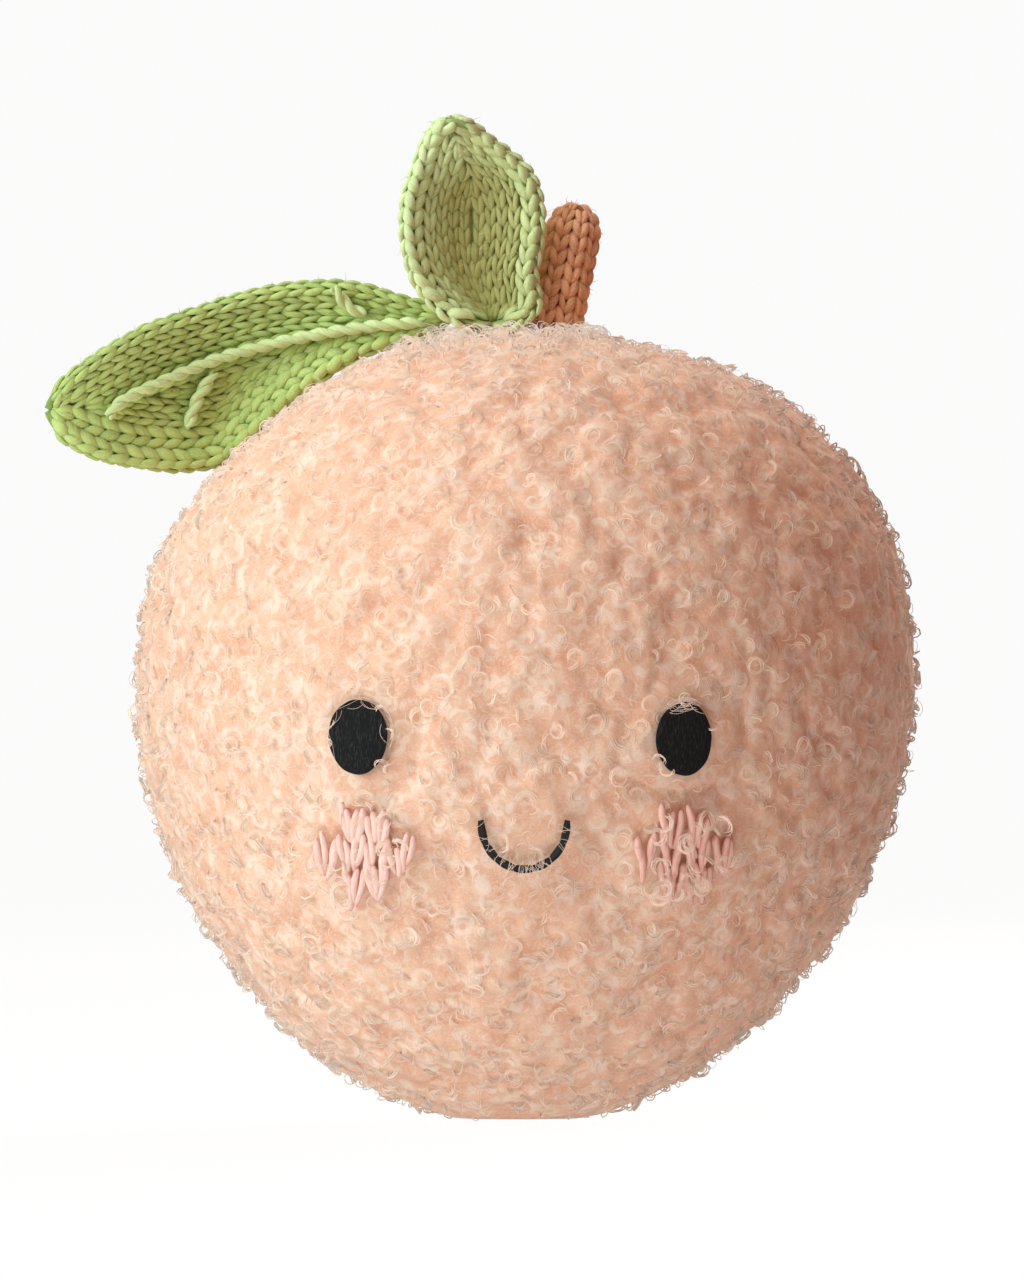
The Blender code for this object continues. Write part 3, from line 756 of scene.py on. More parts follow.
# %% Frizz round the stem and the leaves
CROWN_X, CROWN_Y, CROWN_RADIUS = -5.0, -1.0, 21.0
roots, out = scatter(2.7, rng)
keep = np.hypot(roots[:, 0] - CROWN_X, roots[:, 1] - CROWN_Y) < CROWN_RADIUS
keep &= roots[:, 2] > BODY_CENTRE_Z
add_curls("crown_frizz", curls(
    roots[keep], out[keep], rng, tilt=(20, 90), arc=(190, 330), radius=(1.3, 2.2), lift=(0.6, 3.4),
    fibres=2, spread=0.3, thick=0.09, steps=9, dive=2.0), "body")

# %% [markdown]
# ## Knitted stitches
# Plain knitting shows columns of V stitches. Each leg of a V is a plump bit of yarn that leans outwards as it
# climbs, and both of its ends dip behind its neighbours. A column only has to say where a point at a distance
# along it and to one side of it lies, and which way is out. The same legs then fit a leaf or a tube.

# %% One column of V stitches
LEG_STEPS, LEG_SIDES = 7, 5
YARN_TWIST = 1.1


def v_stitches(place, starts, wale, row, deep, rng, shade=0.0, narrowed=1.0):
    """Two legs for each start: at share t, (1.5 t - 0.2) rows along and wale * (0.04 + 0.4 t) to the side.

    place(distance, offset) gives points on the cloth and the ways out of it. Each leg swells by a low power
    of sin(pi t). narrowed is each stitch's share of its full width, and a narrowed one lies a little lower.
    """
    share = np.linspace(0, 1, LEG_STEPS)[None]
    swell = np.sin(np.pi * np.clip(share, 0.04, 0.96)) ** 0.45
    made = []
    for hand in (-1, 1):
        wobble = 1 + 0.1 * rng.normal(size=(len(starts), 1))
        points, out = place(starts[:, None] + (1.5 * share - 0.2) * row, hand * wale * (0.04 + 0.4 * share))
        narrowed = np.reshape(narrowed, (-1, 1))
        points = points + out * (deep * (swell * wobble - 1.15 - 0.25 * (1 - narrowed)))[..., None]
        wide = wale * 0.25 * swell * wobble * narrowed
        rings = rings_along(points, out, wide, deep * 0.66 * swell, LEG_SIDES)
        tint = rng.random(len(starts))
        # Painted shade: each leg is deeper at its ends, where it dips behind its neighbours, and takes its
        # shade share.
        made.append(closed_skin(rings, YARN_TWIST * hand, tint, 0.15 + 0.85 * swell, shade))
    return made


# %% Nap that stands off the yarn
NAP_THICKNESS = 0.06


def nap(legs, count, reach, rng):
    """Short fibres from random points of the stitches: out * t (1 - 0.4 t) plus a random way * t squared."""
    rings = np.concatenate([part["rings"] for part in legs])
    leg, step = rng.integers(len(rings), size=count), rng.integers(1, LEG_STEPS - 1, size=count)
    ring = rings[leg, step]
    root, middle = ring[np.arange(count), rng.integers(LEG_SIDES, size=count)], ring.mean(axis=1)
    out, astray = unit(root - middle), unit(rng.normal(size=(count, 3)))
    share = np.linspace(-0.15, 1, 4)[None, :, None]
    length = (reach * rng.uniform(0.4, 1.0, size=count))[:, None, None]
    stray = 0.7 * astray[:, None] * share**2
    path = root[:, None] + length * (out[:, None] * share * (1 - 0.4 * share) + stray)
    thick = NAP_THICKNESS * (1 - 0.5 * share[..., 0])
    rings = rings_along(path, np.cross(out, astray)[:, None], thick, thick, 3)
    return closed_skin(rings, 0.0, rng.random(count), 1.0)


# %% [markdown]
# ## Leaves
# Each leaf is one layer of knitting. Two edge columns run round it from root to tip, the inner columns run
# inside them, and the front is cupped. Its shape is two formulas of how far along and how far aside a point
# is. Its skin bends round the edge: near the edge a distance over the skin is turned into an angle.

# %% Leaf shapes
LEAF_THICKNESS = 3.2
LEAF_CORE = 1.9
UPRIGHT_BASE_Z, UPRIGHT_TIP_Z = 151.6, 191.2
UPRIGHT_MIDDLE_X, UPRIGHT_HALF_WIDTH, UPRIGHT_CUP = -10.2, 12.3, 8.5
SIDE_BASE_X, SIDE_TIP_X, SIDE_BASE_Z = -15.0, -90.8, 153.0
SIDE_HALF_WIDTH, SIDE_CUP = 15.6, 4.5
SHOULDER_CLEARANCE, DENT_STEEPNESS = 0.7, 1.35


def upright_leaf(along, side):
    """A pointed oval that leans to the left at its tip, cupped below, with its base pinched together."""
    along, side = np.broadcast_arrays(along, side)
    half = UPRIGHT_HALF_WIDTH * np.sqrt(np.maximum(0.0, 1 - along**2))
    half = half * (1.08 - 0.2 * ease(0.3, 1.0, along) + 0.3 * ease(0.4, 1.0, -along))
    middle = UPRIGHT_MIDDLE_X - 3.6 * ease(0.4, 1.0, along) + 3.6 * ease(0.4, 1.0, -along)
    z = UPRIGHT_BASE_Z + (UPRIGHT_TIP_Z - UPRIGHT_BASE_Z) * (along + 1) / 2
    bowl = UPRIGHT_CUP * (1 - side**2) * (1 - ease(0.1, 1.0, along))
    y = -4.6 + bowl + 3.0 * ease(-0.2, 1.0, along) - 2.0 * ease(0.85, 1.0, along)
    return np.stack([middle + side * half, y, z], axis=-1)


def shoulder_at(x):
    """The height of the body's outline at x, less the dent under the drooping leaf."""
    share = np.minimum(1.0, np.abs(x) / BODY_HALF_WIDTH)
    height = BODY_CENTRE_Z + BODY_UPPER * (1 - share**UPPER_POWER) ** (1 / UPPER_POWER)
    return height - DENT_STEEPNESS * dent_at(np.stack([x, 0 * x, height], axis=-1))


def side_leaf(along, side):
    """A long drooping oval whose lower half is only as wide as the room above the shoulder."""
    along, side = np.broadcast_arrays(along, side)
    x = SIDE_BASE_X + (SIDE_TIP_X - SIDE_BASE_X) * (along + 1) / 2
    middle = SIDE_BASE_Z - 13.4 * ease(-0.68, 0.36, along) - 3.9 * ease(0.2, 1.0, along)
    swell = 0.42 + 0.6 * ease(-0.9, 0.2, along) - 0.06 * ease(0.4, 1.0, along)
    upper = SIDE_HALF_WIDTH * np.sqrt(np.maximum(0.0, 1 - along**2)) * swell
    lower = np.minimum(upper, middle - shoulder_at(x) - SHOULDER_CLEARANCE)
    y = 5.0 + 3.0 * ease(-0.9, 0.0, along) - 11.0 * ease(0.1, 1.0, along)
    y = y + SIDE_CUP * (1 - side**2) * (1 - 0.7 * np.abs(along))
    return np.stack([x, y, middle + side * np.where(side > 0, upper, lower)], axis=-1)


# %% The leaf's skin and its columns
def front_way(leaf, along, side):
    """The way out of the leaf's front: square to its two directions, and turned to face -Y."""
    small = 1e-3
    lengthwise = leaf(along + small, side) - leaf(along - small, side)
    crosswise = leaf(along, side + small) - leaf(along, side - small)
    way = unit(np.cross(lengthwise, crosswise))
    return way * -np.sign(way[..., 1:2])


def on_leaf(leaf, along, edge, reach, face):
    """A point of the skin at reach mm over it from the very edge, and the way out.

    Up to a quarter turn the skin bends round the edge, at half the leaf's thickness. Then it runs inwards.
    """
    along, reach = np.broadcast_arrays(along, reach)
    bend = LEAF_THICKNESS / 2
    turn = np.clip(reach / bend, 0, np.pi / 2)
    inward = bend * (1 - np.cos(turn)) + np.maximum(reach - bend * np.pi / 2, 0)
    to_edge = leaf(along, edge + 0 * along) - leaf(along, 0 * along)
    half = np.linalg.norm(to_edge, axis=-1)
    side = edge * np.clip(1 - inward / np.maximum(half, 0.3), 0, 1)
    front = front_way(leaf, along, np.clip(side, -0.98, 0.98)) * face
    out = front * np.sin(turn)[..., None] + unit(to_edge) * np.cos(turn)[..., None]
    return leaf(along, side) + front * (bend * np.sin(turn))[..., None], unit(out)


# %% The stitches of half a leaf, and the layer behind them
def leaf_columns(leaf, edge, face, columns, row, rng, shade_of):
    """Every V of one half of one face. columns lists each column's middle, from the edge in, and width."""
    made = []
    along = np.linspace(-0.985, 0.985, 500)
    for reach, wale in columns:
        line, _ = on_leaf(leaf, along, edge, np.full_like(along, reach), face)
        distance = np.append(0.0, np.linalg.norm(np.diff(line, axis=0), axis=1).cumsum())
        half = np.linalg.norm(leaf(along, edge + 0 * along) - leaf(along, 0 * along), axis=1)
        fits = half > reach - LEAF_THICKNESS * 0.3 - 0.1 * wale
        starts = np.arange(rng.uniform(0, 0.6) * row, distance[-1] - 0.8 * row, row)
        starts = starts[np.interp(starts + 0.6 * row, distance, fits) > 0.5]

        def place(at, offset):
            """Points at a distance along this column and an offset to its side."""
            return on_leaf(leaf, np.interp(at, distance, along), edge, reach + offset, face)

        if len(starts):
            # Painted shade on the front face only, by the leaf's shade share.
            made += v_stitches(place, starts, wale, row, 0.95 if wale > 4 else 0.8, rng,
                               shade_of(reach, np.interp(starts, distance, along), edge) * (face > 0))
    return made


def leaf_core(leaf):
    """The layer behind the stitches: side = cos(turn), and lift = sin(turn) to a low power."""
    along = np.sin(np.linspace(-0.5, 0.5, 48) * np.pi * 0.97)[:, None]
    turn = FULL_TURN * np.arange(40)[None] / 40
    side = 0.94 * np.cos(turn) + 0 * along
    lift = np.sign(np.sin(turn)) * np.abs(np.sin(turn)) ** 0.5 * LEAF_CORE / 2
    points = leaf(along, side) + front_way(leaf, along + 0 * turn, side) * lift[..., None]
    # The layer behind takes the deepest colour, a rise of 0: painted shade in the gaps between the stitches.
    return closed_skin(points[None], 0.0, 0.3, 0.0)


# %% Knit both leaves
LEAF_NAP, LEAF_NAP_REACH = 900, 1.8
EDGE_WALE, INNER_WALE = 4.5, 2.9
UPRIGHT_ROW, SIDE_ROW = 3.1, 3.3


def knitted_leaf(name, leaf, material, slot, columns, row, seed, shade_of):
    """The core, then the columns of both halves of both faces, and the nap on them, as one piece."""
    rng = np.random.default_rng(seed)
    legs = []
    for edge in (-1, 1):
        for face in (1, -1):
            legs += leaf_columns(leaf, edge, face, columns[edge], row, rng, shade_of)
    parts = [leaf_core(leaf), *legs, nap(legs, LEAF_NAP, LEAF_NAP_REACH, rng)]
    return add_piece(name + "_knit", parts, material, slot, name)


def columns_of(edge_columns, all_columns):
    """The middle and width of each column: wide ones first, then narrow ones, side by side from the edge."""
    widths = [EDGE_WALE] * edge_columns + [INNER_WALE] * (all_columns - edge_columns)
    return [(sum(widths[:place]) + width / 2, width) for place, width in enumerate(widths)]


# Shares of painted shade on the leaves' fronts, multiplied in as the yarn's shaded colour.
def cup_shade(reach, along, edge):
    """Full in the upright leaf's cup, half on its right rim, and none on its left rim and near its tip."""
    rim = 0.25 + 0.25 * edge
    return rim + (1 - rim) * ease(4.5 - 1.5 * edge, 9.0 - 2.0 * edge, reach) * (1 - ease(0.3, 0.75, along))


def hollow_shade(reach, along, edge):
    """Full in the drooping leaf's hollow near its tip, and none on its rim and near its root."""
    return ease(4.0, 9.0, reach) * ease(-0.5, 0.1, along)


knitted_leaf("leaf_upright", upright_leaf, light_green, "light_green_yarn",
             {-1: columns_of(1, 6), 1: columns_of(1, 6)}, UPRIGHT_ROW, 21, cup_shade)
knitted_leaf("leaf_side", side_leaf, dark_green, "dark_green_yarn",
             {-1: columns_of(2, 6), 1: columns_of(0, 7)}, SIDE_ROW, 22, hollow_shade)

# %% [markdown]
# ## Veins
# The veins are lengths of thicker, two-ply yarn laid over the drooping leaf and stitched down. Two strands
# wind round one smooth route, half a turn apart.

# %% Lay the veins
VEIN_WIDTH, VEIN_PITCH, WALE_RELIEF, STRAND_SIDES = 2.4, 7.0, 0.55, 8
VEINS = {
    "vein_middle": ((-19.0, 152.6), (-31.0, 151.6), (-44.1, 149.4), (-57.7, 145.9), (-69.0, 141.3),
                    (-76.5, 137.6), (-79.6, 134.4)),
    "vein_upper": ((-36.7, 159.2), (-33.6, 155.4), (-30.4, 154.0)),
    "vein_lower": ((-59.2, 143.2), (-62.4, 138.4), (-64.5, 132.4)),
}


def smooth_route(marks, steps):
    """A Catmull-Rom curve: each stretch is a cubic of its own two marks and their neighbours."""
    marks = np.array(marks, dtype=float)
    marks = np.concatenate([2 * marks[:1] - marks[1:2], marks, 2 * marks[-1:] - marks[-2:-1]])
    t = np.linspace(0, 1, steps, endpoint=False)[None, :, None]
    a, b, c, d = (marks[i:len(marks) - 3 + i, None] for i in range(4))
    route = (2 * b + (c - a) * t + (2 * a - 5 * b + 4 * c - d) * t**2 + (3 * b - a - 3 * c + d) * t**3) / 2
    return np.concatenate([route.reshape(-1, marks.shape[1]), marks[-2:-1]])


def side_leaf_front(x, z):
    """The y of the drooping leaf's front at x and z."""
    along = 2 * (x - SIDE_BASE_X) / (SIDE_TIP_X - SIDE_BASE_X) - 1
    middle, top, bottom = (side_leaf(along, part + 0 * along)[:, 2] for part in (0, 1, -1))
    side = (z - middle) / np.where(z > middle, top - middle, middle - bottom)
    return side_leaf(along, np.clip(side, -1, 1))[:, 1] - LEAF_THICKNESS / 2


def two_ply(route, width, pitch):
    """Two strands: the route plus 0.22 width times (across cos + out sin) of a turn for each pitch."""
    ahead = unit(np.gradient(route, axis=0))
    across = unit(np.cross(FORWARD, ahead))
    out = np.cross(ahead, across)
    distance = np.append(0.0, np.linalg.norm(np.diff(route, axis=0), axis=1).cumsum())
    strands = []
    for start in (0.0, np.pi):
        turn = (FULL_TURN * distance / pitch + start)[:, None]
        strands.append(route + width * 0.22 * (across * np.cos(turn) + out * np.sin(turn)))
    ends = np.clip(np.minimum(distance, distance[-1] - distance) / width, 0, 1)[None] ** 0.5
    radius = width * (0.12 + 0.19 * ends)
    rings = rings_along(np.stack(strands), FORWARD, radius, radius, STRAND_SIDES)
    return closed_skin(rings, YARN_TWIST, 0.5, 0.8)


for name, marks in VEINS.items():
    flat = smooth_route(marks, 24 if name == "vein_middle" else 16)
    front = side_leaf_front(flat[:, 0], flat[:, 1]) - GAP - WALE_RELIEF - VEIN_WIDTH / 2
    route = np.stack([flat[:, 0], front, flat[:, 1]], axis=-1)
    add_piece(name + "_yarn", [two_ply(route, VEIN_WIDTH, VEIN_PITCH)], vein_green, "vein_yarn", name)

# %% [markdown]
# ## Stem
# The stem is a knitted tube, closed at its top by gathering. Nine columns of V stitches run up it and
# converge over the rounded top. One column stops short there, which leaves a small dark hole.

# %% Knit the stem
STEM_BASE, STEM_LENGTH, STEM_RADIUS = np.array((5.4, 6.0, 151.1)), 24.6, 5.1
STEM_LEAN, STEM_WALES, STEM_ROUND, STEM_ROW = np.radians(11), 9, 6.2, 2.9
STEM_CORE, HOLE_COLUMN, FIRST_COLUMN = 4.1, 7, 0.18
STEM_NAP, STEM_NAP_REACH = 300, 1.6


def on_stem(distance, angle, radius=STEM_RADIUS, top=STEM_ROUND):
    """A point at a distance up the tube: a cylinder, then a quarter ellipse over the top, leaned to +X."""
    distance, angle = np.broadcast_arrays(distance, angle)
    straight = STEM_LENGTH - STEM_ROUND
    turn = np.clip((distance - straight) / (STEM_ROUND * 1.57), 0, 1) * np.pi / 2
    flat, up = radius * np.cos(turn), np.minimum(distance, straight) + top * np.sin(turn)
    points = np.stack([flat * np.cos(angle), flat * np.sin(angle), up], axis=-1)
    out = np.stack([np.cos(turn) * np.cos(angle), np.cos(turn) * np.sin(angle), np.sin(turn)], axis=-1)
    cos, sin = np.cos(STEM_LEAN), np.sin(STEM_LEAN)
    leaned = np.array([[cos, 0, -sin], [0, 1, 0], [sin, 0, cos]])
    return points @ leaned + STEM_BASE, out @ leaned


rng = np.random.default_rng(31)
core_up = np.linspace(0.3, STEM_LENGTH + 3.2, 36)[:, None]
core_rings, _ = on_stem(core_up, FULL_TURN * np.arange(28)[None] / 28, STEM_CORE, STEM_ROUND - 0.2)
legs = []
for column in range(STEM_WALES):
    middle = FULL_TURN * (column + FIRST_COLUMN) / STEM_WALES
    starts = np.arange(0.4 + rng.uniform(0, 0.5), STEM_LENGTH - 0.4, STEM_ROW)
    starts = starts[:-1] if column == HOLE_COLUMN else starts
    over_top = np.clip((starts + 0.6 * STEM_ROW - STEM_LENGTH + STEM_ROUND) / (STEM_ROUND * 1.57), 0, 1)
    legs += v_stitches(lambda at, offset: on_stem(at, middle + offset / STEM_RADIUS), starts,
                       FULL_TURN * STEM_RADIUS / STEM_WALES, STEM_ROW, 0.95, rng,
                       narrowed=np.maximum(0.45, np.cos(over_top * np.pi / 2)))
# The core takes the deepest colour, a rise of 0: painted shade in the gaps between the stitches.
parts = [closed_skin(core_rings[None], 0.0, 0.3, 0.0), *legs, nap(legs, STEM_NAP, STEM_NAP_REACH, rng)]
add_piece("stem_knit", parts, brown, "brown_yarn", "stem")

# %% [markdown]
# ## Face
# The eyes are ovals of black felt, slightly domed. The smile is a few short black stitches along a curve,
# each of three strands side by side, and the cheeks are V stitches of two-ply pink yarn over the curls.

# %% Felt eyes
EYE_THICKNESS, FELT_RELIEF = 1.3, 0.1
NAP_PER_METRE = (4000, 4000, 700)


def felt_material():
    """Near black, with a nap of faint upright streaks and a bump of short fibres."""
    material, tree, shader = new_material("napped_felt")
    place = link_nodes(tree, "ShaderNodeTexCoord").outputs["Object"]
    squeezed = link_nodes(tree, "ShaderNodeMapping", Vector=place, Scale=NAP_PER_METRE)
    nap = link_nodes(tree, "ShaderNodeTexNoise", Vector=squeezed.outputs[0], Scale=1.0, Detail=3.0)
    share = link_nodes(tree, "ShaderNodeMapRange", i0=nap.outputs[0], i1=0.5, i2=0.85)
    colour = blend_node(tree, share.outputs[0], (0.008, 0.008, 0.008, 1), (0.045, 0.044, 0.042, 1))
    link_look(tree, shader, colour, nap.outputs[0], 0.5, FELT_RELIEF)
    set_sockets(shader, Roughness=0.9, Specular_IOR_Level=0.15, Sheen_Weight=0.08, Sheen_Roughness=0.4)
    return material


felt = felt_material()
for name, (x, z, wide, high) in EYES.items():
    down = np.linspace(0.02, np.pi - 0.02, 30)[:, None]
    turn = FULL_TURN * np.arange(64)[None] / 64
    edge = 1 + 0.01 * np.sin(3 * turn + x) + 0.006 * np.sin(8 * turn)
    at_x, at_z = x + wide * edge * np.sin(down) * np.cos(turn), z + high * edge * np.sin(down) * np.sin(turn)
    level = np.cos(down) + 0 * turn
    lift = EYE_THICKNESS * (0.5 + 0.5 * np.sign(level) * np.abs(level) ** 0.5)
    rings = on_face(at_x, at_z, GAP + lift)
    add_piece(name + "_felt", [closed_skin(rings[None, ::-1])], felt, "black_felt", name)

# %% Stitched mouth
MOUTH_STITCHES, MOUTH_CORD, MOUTH_STRAIGHTNESS = 7, 1.6, 0.35
rng = np.random.default_rng(41)
share = np.linspace(0, 1, 12)
parts = []
for stitch in range(MOUTH_STITCHES):
    first, last = np.pi * (1 + (stitch + np.array((-0.15, 1.15))) / MOUTH_STITCHES)
    angle = first + (last - first) * share
    start, end = (np.array((np.cos(turn), np.sin(turn))) for turn in (first, last))
    straight = (1 - share)[:, None] * start + share[:, None] * end
    curved = np.stack([np.cos(angle), np.sin(angle)], axis=-1)
    bent = MOUTH_STRAIGHTNESS * straight + (1 - MOUTH_STRAIGHTNESS) * curved
    x, z = MOUTH_X + MOUTH_HALF_WIDTH * bent[:, 0], MOUTH_Z + MOUTH_DROP * bent[:, 1]
    aside = unit(np.array((np.sin(first) - np.sin(last), 0, np.cos(last) - np.cos(first))))
    for strand in (-1, 0, 1):
        lift = GAP + 0.55 + 0.45 * np.sin(np.pi * share) + 0.1 * (strand == 0)
        bow = strand * MOUTH_CORD * (0.2 + 0.1 * np.sin(np.pi * share))
        route = on_face(x, z, lift) + aside * bow[:, None]
        thick = MOUTH_CORD * 0.19 * (0.6 + 0.4 * np.sin(np.pi * share)) * rng.uniform(0.9, 1.1)
        rings = rings_along(route[None], FORWARD, thick[None], 0.8 * thick[None], STRAND_SIDES)
        parts.append(closed_skin(rings, 1.5, rng.random(), 0.6))
add_piece("mouth_stitches", parts, black_thread, "black_thread", "mouth")

# %% Stitched cheeks
CHEEK_ROWS = {1: (-0.5, 0.5), 0: (-1.5, -0.5, 0.5, 1.5), -1: (-0.5, 0.5)}
STITCH_WIDTH, STITCH_HEIGHT = 4.7, 5.0
LEG_LENGTH, LEG_WIDTH, LEG_THICKNESS, LEG_LEAN = 7.2, 2.4, 1.3, np.radians(9)
for name, (x, z) in CHEEKS.items():
    parts = []
    share = np.linspace(-1, 1, 14)
    swell = (1 - (share * 0.97) ** 2) ** 0.35
    for level, columns in CHEEK_ROWS.items():
        for column in columns:
            for hand, ply in ((-1, -1), (-1, 1), (1, -1), (1, 1)):
                rise = share * LEG_LENGTH / 2 * rng.uniform(0.75, 1.1)
                leg_x = x + column * STITCH_WIDTH + hand * (np.tan(LEG_LEAN) * rise + LEG_WIDTH * 0.42)
                leg_x = leg_x + ply * LEG_WIDTH * 0.2 * np.sin(1.5 * share + 1.2) + rng.normal(0, 0.35)
                leg_z = z + level * STITCH_HEIGHT + rise + rng.normal(0, 0.8)
                route = on_face(leg_x, leg_z, GAP + LEG_THICKNESS * (0.1 + 0.4 * swell))
                wide = LEG_WIDTH * 0.32 * swell * (1 + 0.12 * share) * rng.uniform(0.8, 1.05)
                rings = rings_along(route[None], FORWARD, wide[None], 0.8 * wide[None], STRAND_SIDES)
                # Painted shade: the right cheek's stitches take the pink's shaded colour, and each leg is
                # deeper at its ends.
                parts.append(closed_skin(rings, 0.9 * hand, rng.random(), 0.2 + 0.8 * swell[None],
                                         float(x > 0)))
    add_piece(name + "_stitches", parts, pink, "pink_yarn", name)

# %% [markdown]
# ## Mohair over the face
# The long fibres of the cover don't stop at the face: some cross the eyes' edges and the mouth, and a few
# small curls lie over the felt and the pink stitches. They tie the face to the toy. Angles run from the right
# and upwards, in radians, and say where on each eye's edge the fibres and curls are thick.

# %% Lay fibres over the face
LAID_STEPS, LAID_THICKNESS = 8, 0.04


def laid_fibres(starts, ends, lift, rng):
    """Between x and z of start and end, bowed aside by a sine, and lifted off the body by its root."""
    count = len(starts)
    share = np.linspace(0, 1, LAID_STEPS)[None]
    hump = np.sin(np.pi * share)
    way = ends - starts
    aside = np.stack([-way[:, 1], way[:, 0]], axis=-1) * rng.uniform(-0.3, 0.3, size=(count, 1))
    flat = starts[:, None] + way[:, None] * share[..., None] + aside[:, None] * hump[..., None]
    lift = lift * np.sqrt(hump) * rng.uniform(0.9, 1.1, size=(count, 1))
    path = on_face(flat[..., 0], flat[..., 1], lift)
    taper = LAID_THICKNESS * (0.6 + 0.4 * hump) * rng.uniform(0.8, 1.2, size=(count, 1))
    rings = rings_along(path, FORWARD, taper, taper, CURL_SIDES)
    return closed_skin(rings, 0.0, rng.random(count), 1.0, way_out=np.broadcast_to(FORWARD, (count, 3)))


def around(x, z, wide, high, angle, reach):
    """x and z at an angle round an ellipse, at reach times its size."""
    return np.stack([x + wide * reach * np.cos(angle), z + high * reach * np.sin(angle)], axis=-1)


EYE_FIBRES, MOUTH_FIBRES = 26, 60
EYE_FRIZZ = {"eye_left": (3.1, 0.4, 0.0, 1.8), "eye_right": (1.57, 1.4, 1.9, 1.6)}
CHEEK_RINGS = {"cheek_left": 9, "cheek_right": 18}
EYE_CURLS = {"eye_left": (3.3, 2.8, 0.7, 0.1, 5.5), "eye_right": (3.9, 4.1, 3.7, 1.5, 0.3)}
rng = np.random.default_rng(51)
parts = []
for name, (x, z, wide, high) in EYES.items():
    middle = rng.choice(EYE_FRIZZ[name], size=EYE_FIBRES)
    angle, apart = middle + rng.normal(0, 0.4, size=EYE_FIBRES), rng.uniform(0.2, 0.6, size=EYE_FIBRES)
    reach = rng.uniform(1.02, 1.16, size=(2, EYE_FIBRES))
    parts.append(laid_fibres(around(x, z, wide, high, angle - apart, reach[0]),
                             around(x, z, wide, high, angle + apart, reach[1]),
                             GAP + EYE_THICKNESS + 0.25, rng))
    angle = np.array(EYE_CURLS[name])
    flat = around(x, z, wide, high, angle, 1.06)
    roots = on_face(flat[:, 0], flat[:, 1])
    parts += curls(roots, np.broadcast_to(FORWARD, roots.shape), rng, tilt=(10, 60), arc=(200, 340),
                   radius=(0.7, 1.2), lift=(1.8, 2.4), fibres=3, spread=0.22, thick=0.08, steps=10, dive=1.2)
for name, (x, z) in CHEEKS.items():
    count = CHEEK_RINGS[name]
    at_x, at_z = x - 2.0 + rng.uniform(-10, 10, size=count), z + rng.uniform(-8, 8, size=count)
    roots = on_face(at_x, at_z)
    parts += curls(roots, np.broadcast_to(FORWARD, roots.shape), rng, tilt=(0, 50), arc=(230, 400),
                   radius=(1.1, 1.8), lift=(1.9, 2.4), fibres=4, spread=0.35, thick=0.09, steps=11, dive=1.4)
angle = np.pi * np.concatenate([rng.uniform(1.33, 1.68, size=MOUTH_FIBRES // 2),
                                rng.uniform(1.0, 2.0, size=MOUTH_FIBRES // 2)])
below = around(MOUTH_X, MOUTH_Z, MOUTH_HALF_WIDTH, MOUTH_DROP, angle,
               rng.uniform(1.08, 1.45, size=MOUTH_FIBRES))
astray = rng.normal(0, 0.25, size=MOUTH_FIBRES)
above = around(MOUTH_X, MOUTH_Z, MOUTH_HALF_WIDTH, MOUTH_DROP, angle + astray,
               rng.uniform(0.55, 0.98, size=MOUTH_FIBRES))
parts.append(laid_fibres(below, above, GAP + 1.7, rng))
add_curls("face_fibres", parts)

# %% [markdown]
# ## Stage, light and camera
# The floor runs up into a wall all the way round, like a photographer's sweep, so that no edge shows from any
# side. One large soft light stands to the front left and above. A weaker one hangs overhead, one under the
# front gives back what a white table would, one behind lights the back, and the warm room fills the shadows
# as light does that has gone from fibre to fibre. The lens is long and far away, because the photo shows
# almost no perspective.

# %% Sweep
SWEEP_RADIUS, SWEEP_BEND, SWEEP_HEIGHT = 8.0, 1.5, 8.0
SWEEP_RINGS, SWEEP_SIDES = 12, 96
PAPER_GLOW = 0.957


def sweep_mesh():
    """A profile of radius and height, turned round the upright axis: flat, a quarter circle, then a wall."""
    bend = np.linspace(0, np.pi / 2, 16)
    radius = np.concatenate([np.linspace(0.02, SWEEP_RADIUS - SWEEP_BEND, SWEEP_RINGS)[:-1],
                             SWEEP_RADIUS - SWEEP_BEND + SWEEP_BEND * np.sin(bend), [SWEEP_RADIUS]])
    height = np.concatenate([np.zeros(SWEEP_RINGS - 1), SWEEP_BEND * (1 - np.cos(bend)), [SWEEP_HEIGHT]])
    turn = FULL_TURN * np.arange(SWEEP_SIDES) / SWEEP_SIDES
    points = np.stack([radius[:, None] * np.cos(turn), radius[:, None] * np.sin(turn),
                       height[:, None] + 0 * turn], axis=-1).reshape(-1, 3)
    step, side = np.meshgrid(np.arange(len(radius) - 1), np.arange(SWEEP_SIDES), indexing="ij")
    here, beside = step * SWEEP_SIDES + side, step * SWEEP_SIDES + (side + 1) % SWEEP_SIDES
    faces = np.stack([here, here + SWEEP_SIDES, beside + SWEEP_SIDES, beside], axis=-1)
    faces = faces.reshape(-1, 4).tolist()
    faces.append(list(range(SWEEP_SIDES)))
    mesh = bpy.data.meshes.new("sweep")
    mesh.from_pydata(points.tolist(), [], faces)
    mesh.shade_smooth()
    return mesh


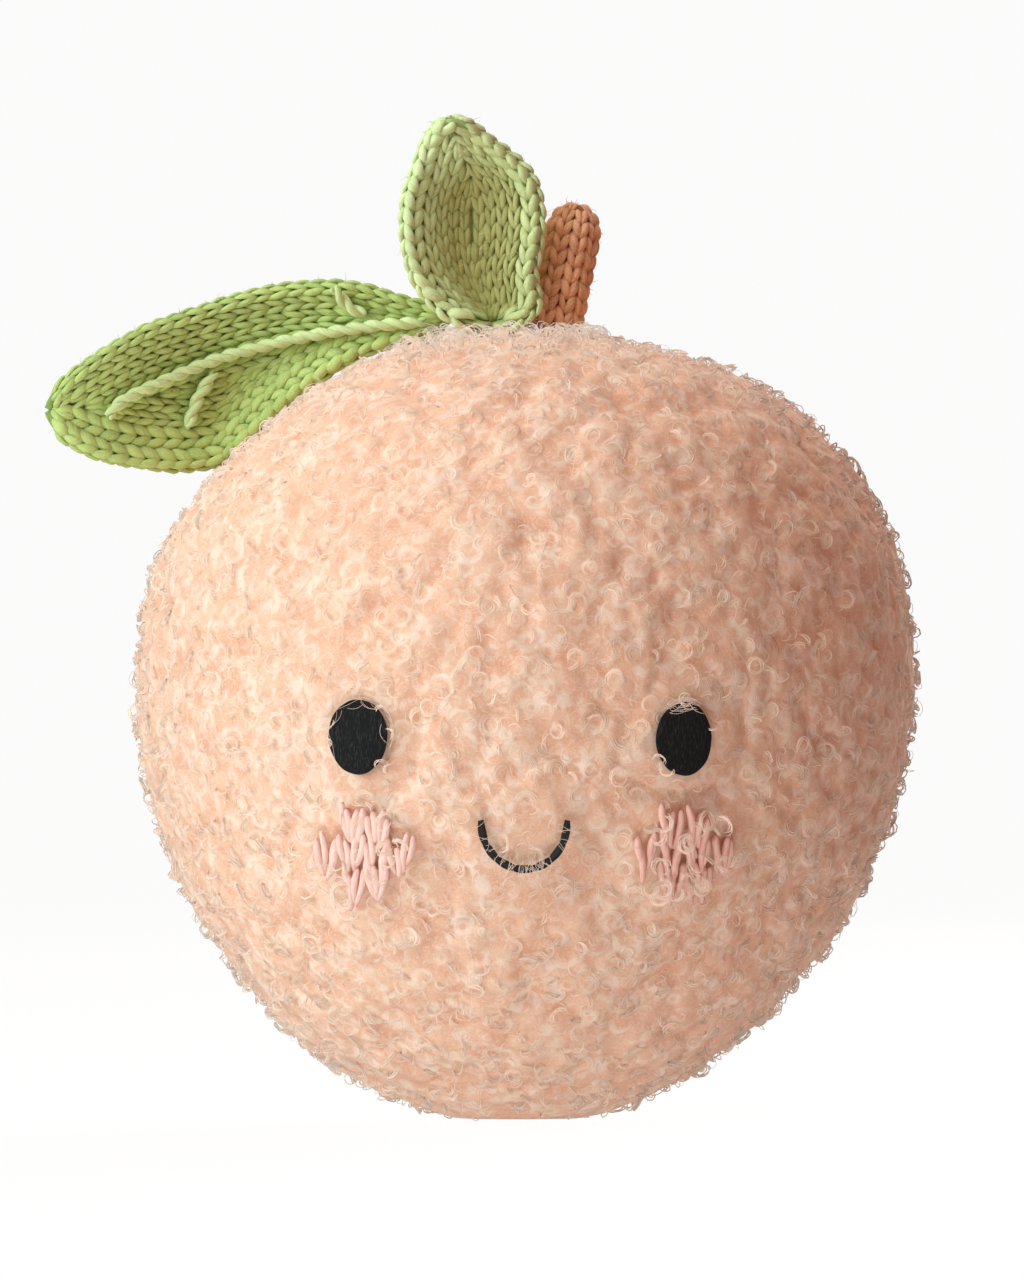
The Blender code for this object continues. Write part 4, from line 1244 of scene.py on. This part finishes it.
sweep = bpy.data.objects.new("sweep", sweep_mesh())
bpy.context.scene.collection.objects.link(sweep)
paper, paper_tree, paper_shader = new_material("pale_paper")
set_sockets(paper_shader, Base_Color=(0.015, 0.015, 0.015, 1.0), Roughness=0.9, Specular_IOR_Level=0.1,
            Emission_Color=(1.0, 1.0, 1.0, 1.0))
seen_straight = link_nodes(paper_tree, "ShaderNodeLightPath").outputs["Is Camera Ray"]
glow = math_node(paper_tree, "MULTIPLY", seen_straight, PAPER_GLOW)
paper_tree.links.new(glow, paper_shader.inputs["Emission Strength"])
sweep.data.materials.append(paper)
sweep.visible_diffuse = sweep.visible_glossy = sweep.visible_shadow = False


# %% Lights
TOY_MIDDLE = (0.0, 0.0, 0.09)
ROOM_TINT, ROOM_STRENGTH = (1.0, 0.54, 0.43, 1.0), 0.28


def soft_light(name, place, size, power, colour):
    """A square light at a place in metres, aimed at the middle of the toy."""
    light = bpy.data.lights.new(name, "AREA")
    light.size, light.energy, light.color = size, power, colour
    lamp = bpy.data.objects.new(name, light)
    bpy.context.scene.collection.objects.link(lamp)
    lamp.visible_camera = False
    lamp.location = place
    aim = Vector(TOY_MIDDLE) - Vector(place)
    lamp.rotation_euler = aim.to_track_quat("-Z", "Y").to_euler()
    print(f"light {name}: {power} W, {round(aim.length, 2)} m away")


soft_light("key", (-1.76, -0.94, 0.74), 2.0, 56.0, (0.80, 1.0, 1.04))
soft_light("top", (-0.1, -0.4, 1.9), 1.5, 16.0, (0.97, 1.0, 1.0))
soft_light("back", (1.0, 2.1, 0.8), 1.5, 24.0, (1.0, 0.93, 0.86))
soft_light("floor_bounce", (-0.10, -0.70, -0.90), 1.0, 10.5, (0.84, 0.97, 1.0))
room = bpy.data.worlds.new("room")
room.use_nodes = True
room.node_tree.nodes["Background"].inputs["Color"].default_value = ROOM_TINT
room.node_tree.nodes["Background"].inputs["Strength"].default_value = ROOM_STRENGTH
bpy.context.scene.world = room
bpy.context.scene.view_settings.view_transform = "Standard"

# %% Camera
FRAME_HEIGHT, FRAME_MIDDLE = 0.2440, (-0.00257, 0.0919)
CAMERA_DISTANCE = 3.5
camera = bpy.data.cameras.new("camera")
camera.sensor_fit = "VERTICAL"
camera.sensor_height = 36.0
camera.lens = camera.sensor_height * CAMERA_DISTANCE / FRAME_HEIGHT
camera.clip_end = 20.0
viewer = bpy.data.objects.new("camera", camera)
bpy.context.scene.collection.objects.link(viewer)
viewer.location = (FRAME_MIDDLE[0], -CAMERA_DISTANCE, FRAME_MIDDLE[1])
viewer.rotation_euler = (np.pi / 2, 0.0, 0.0)
bpy.context.scene.camera = viewer
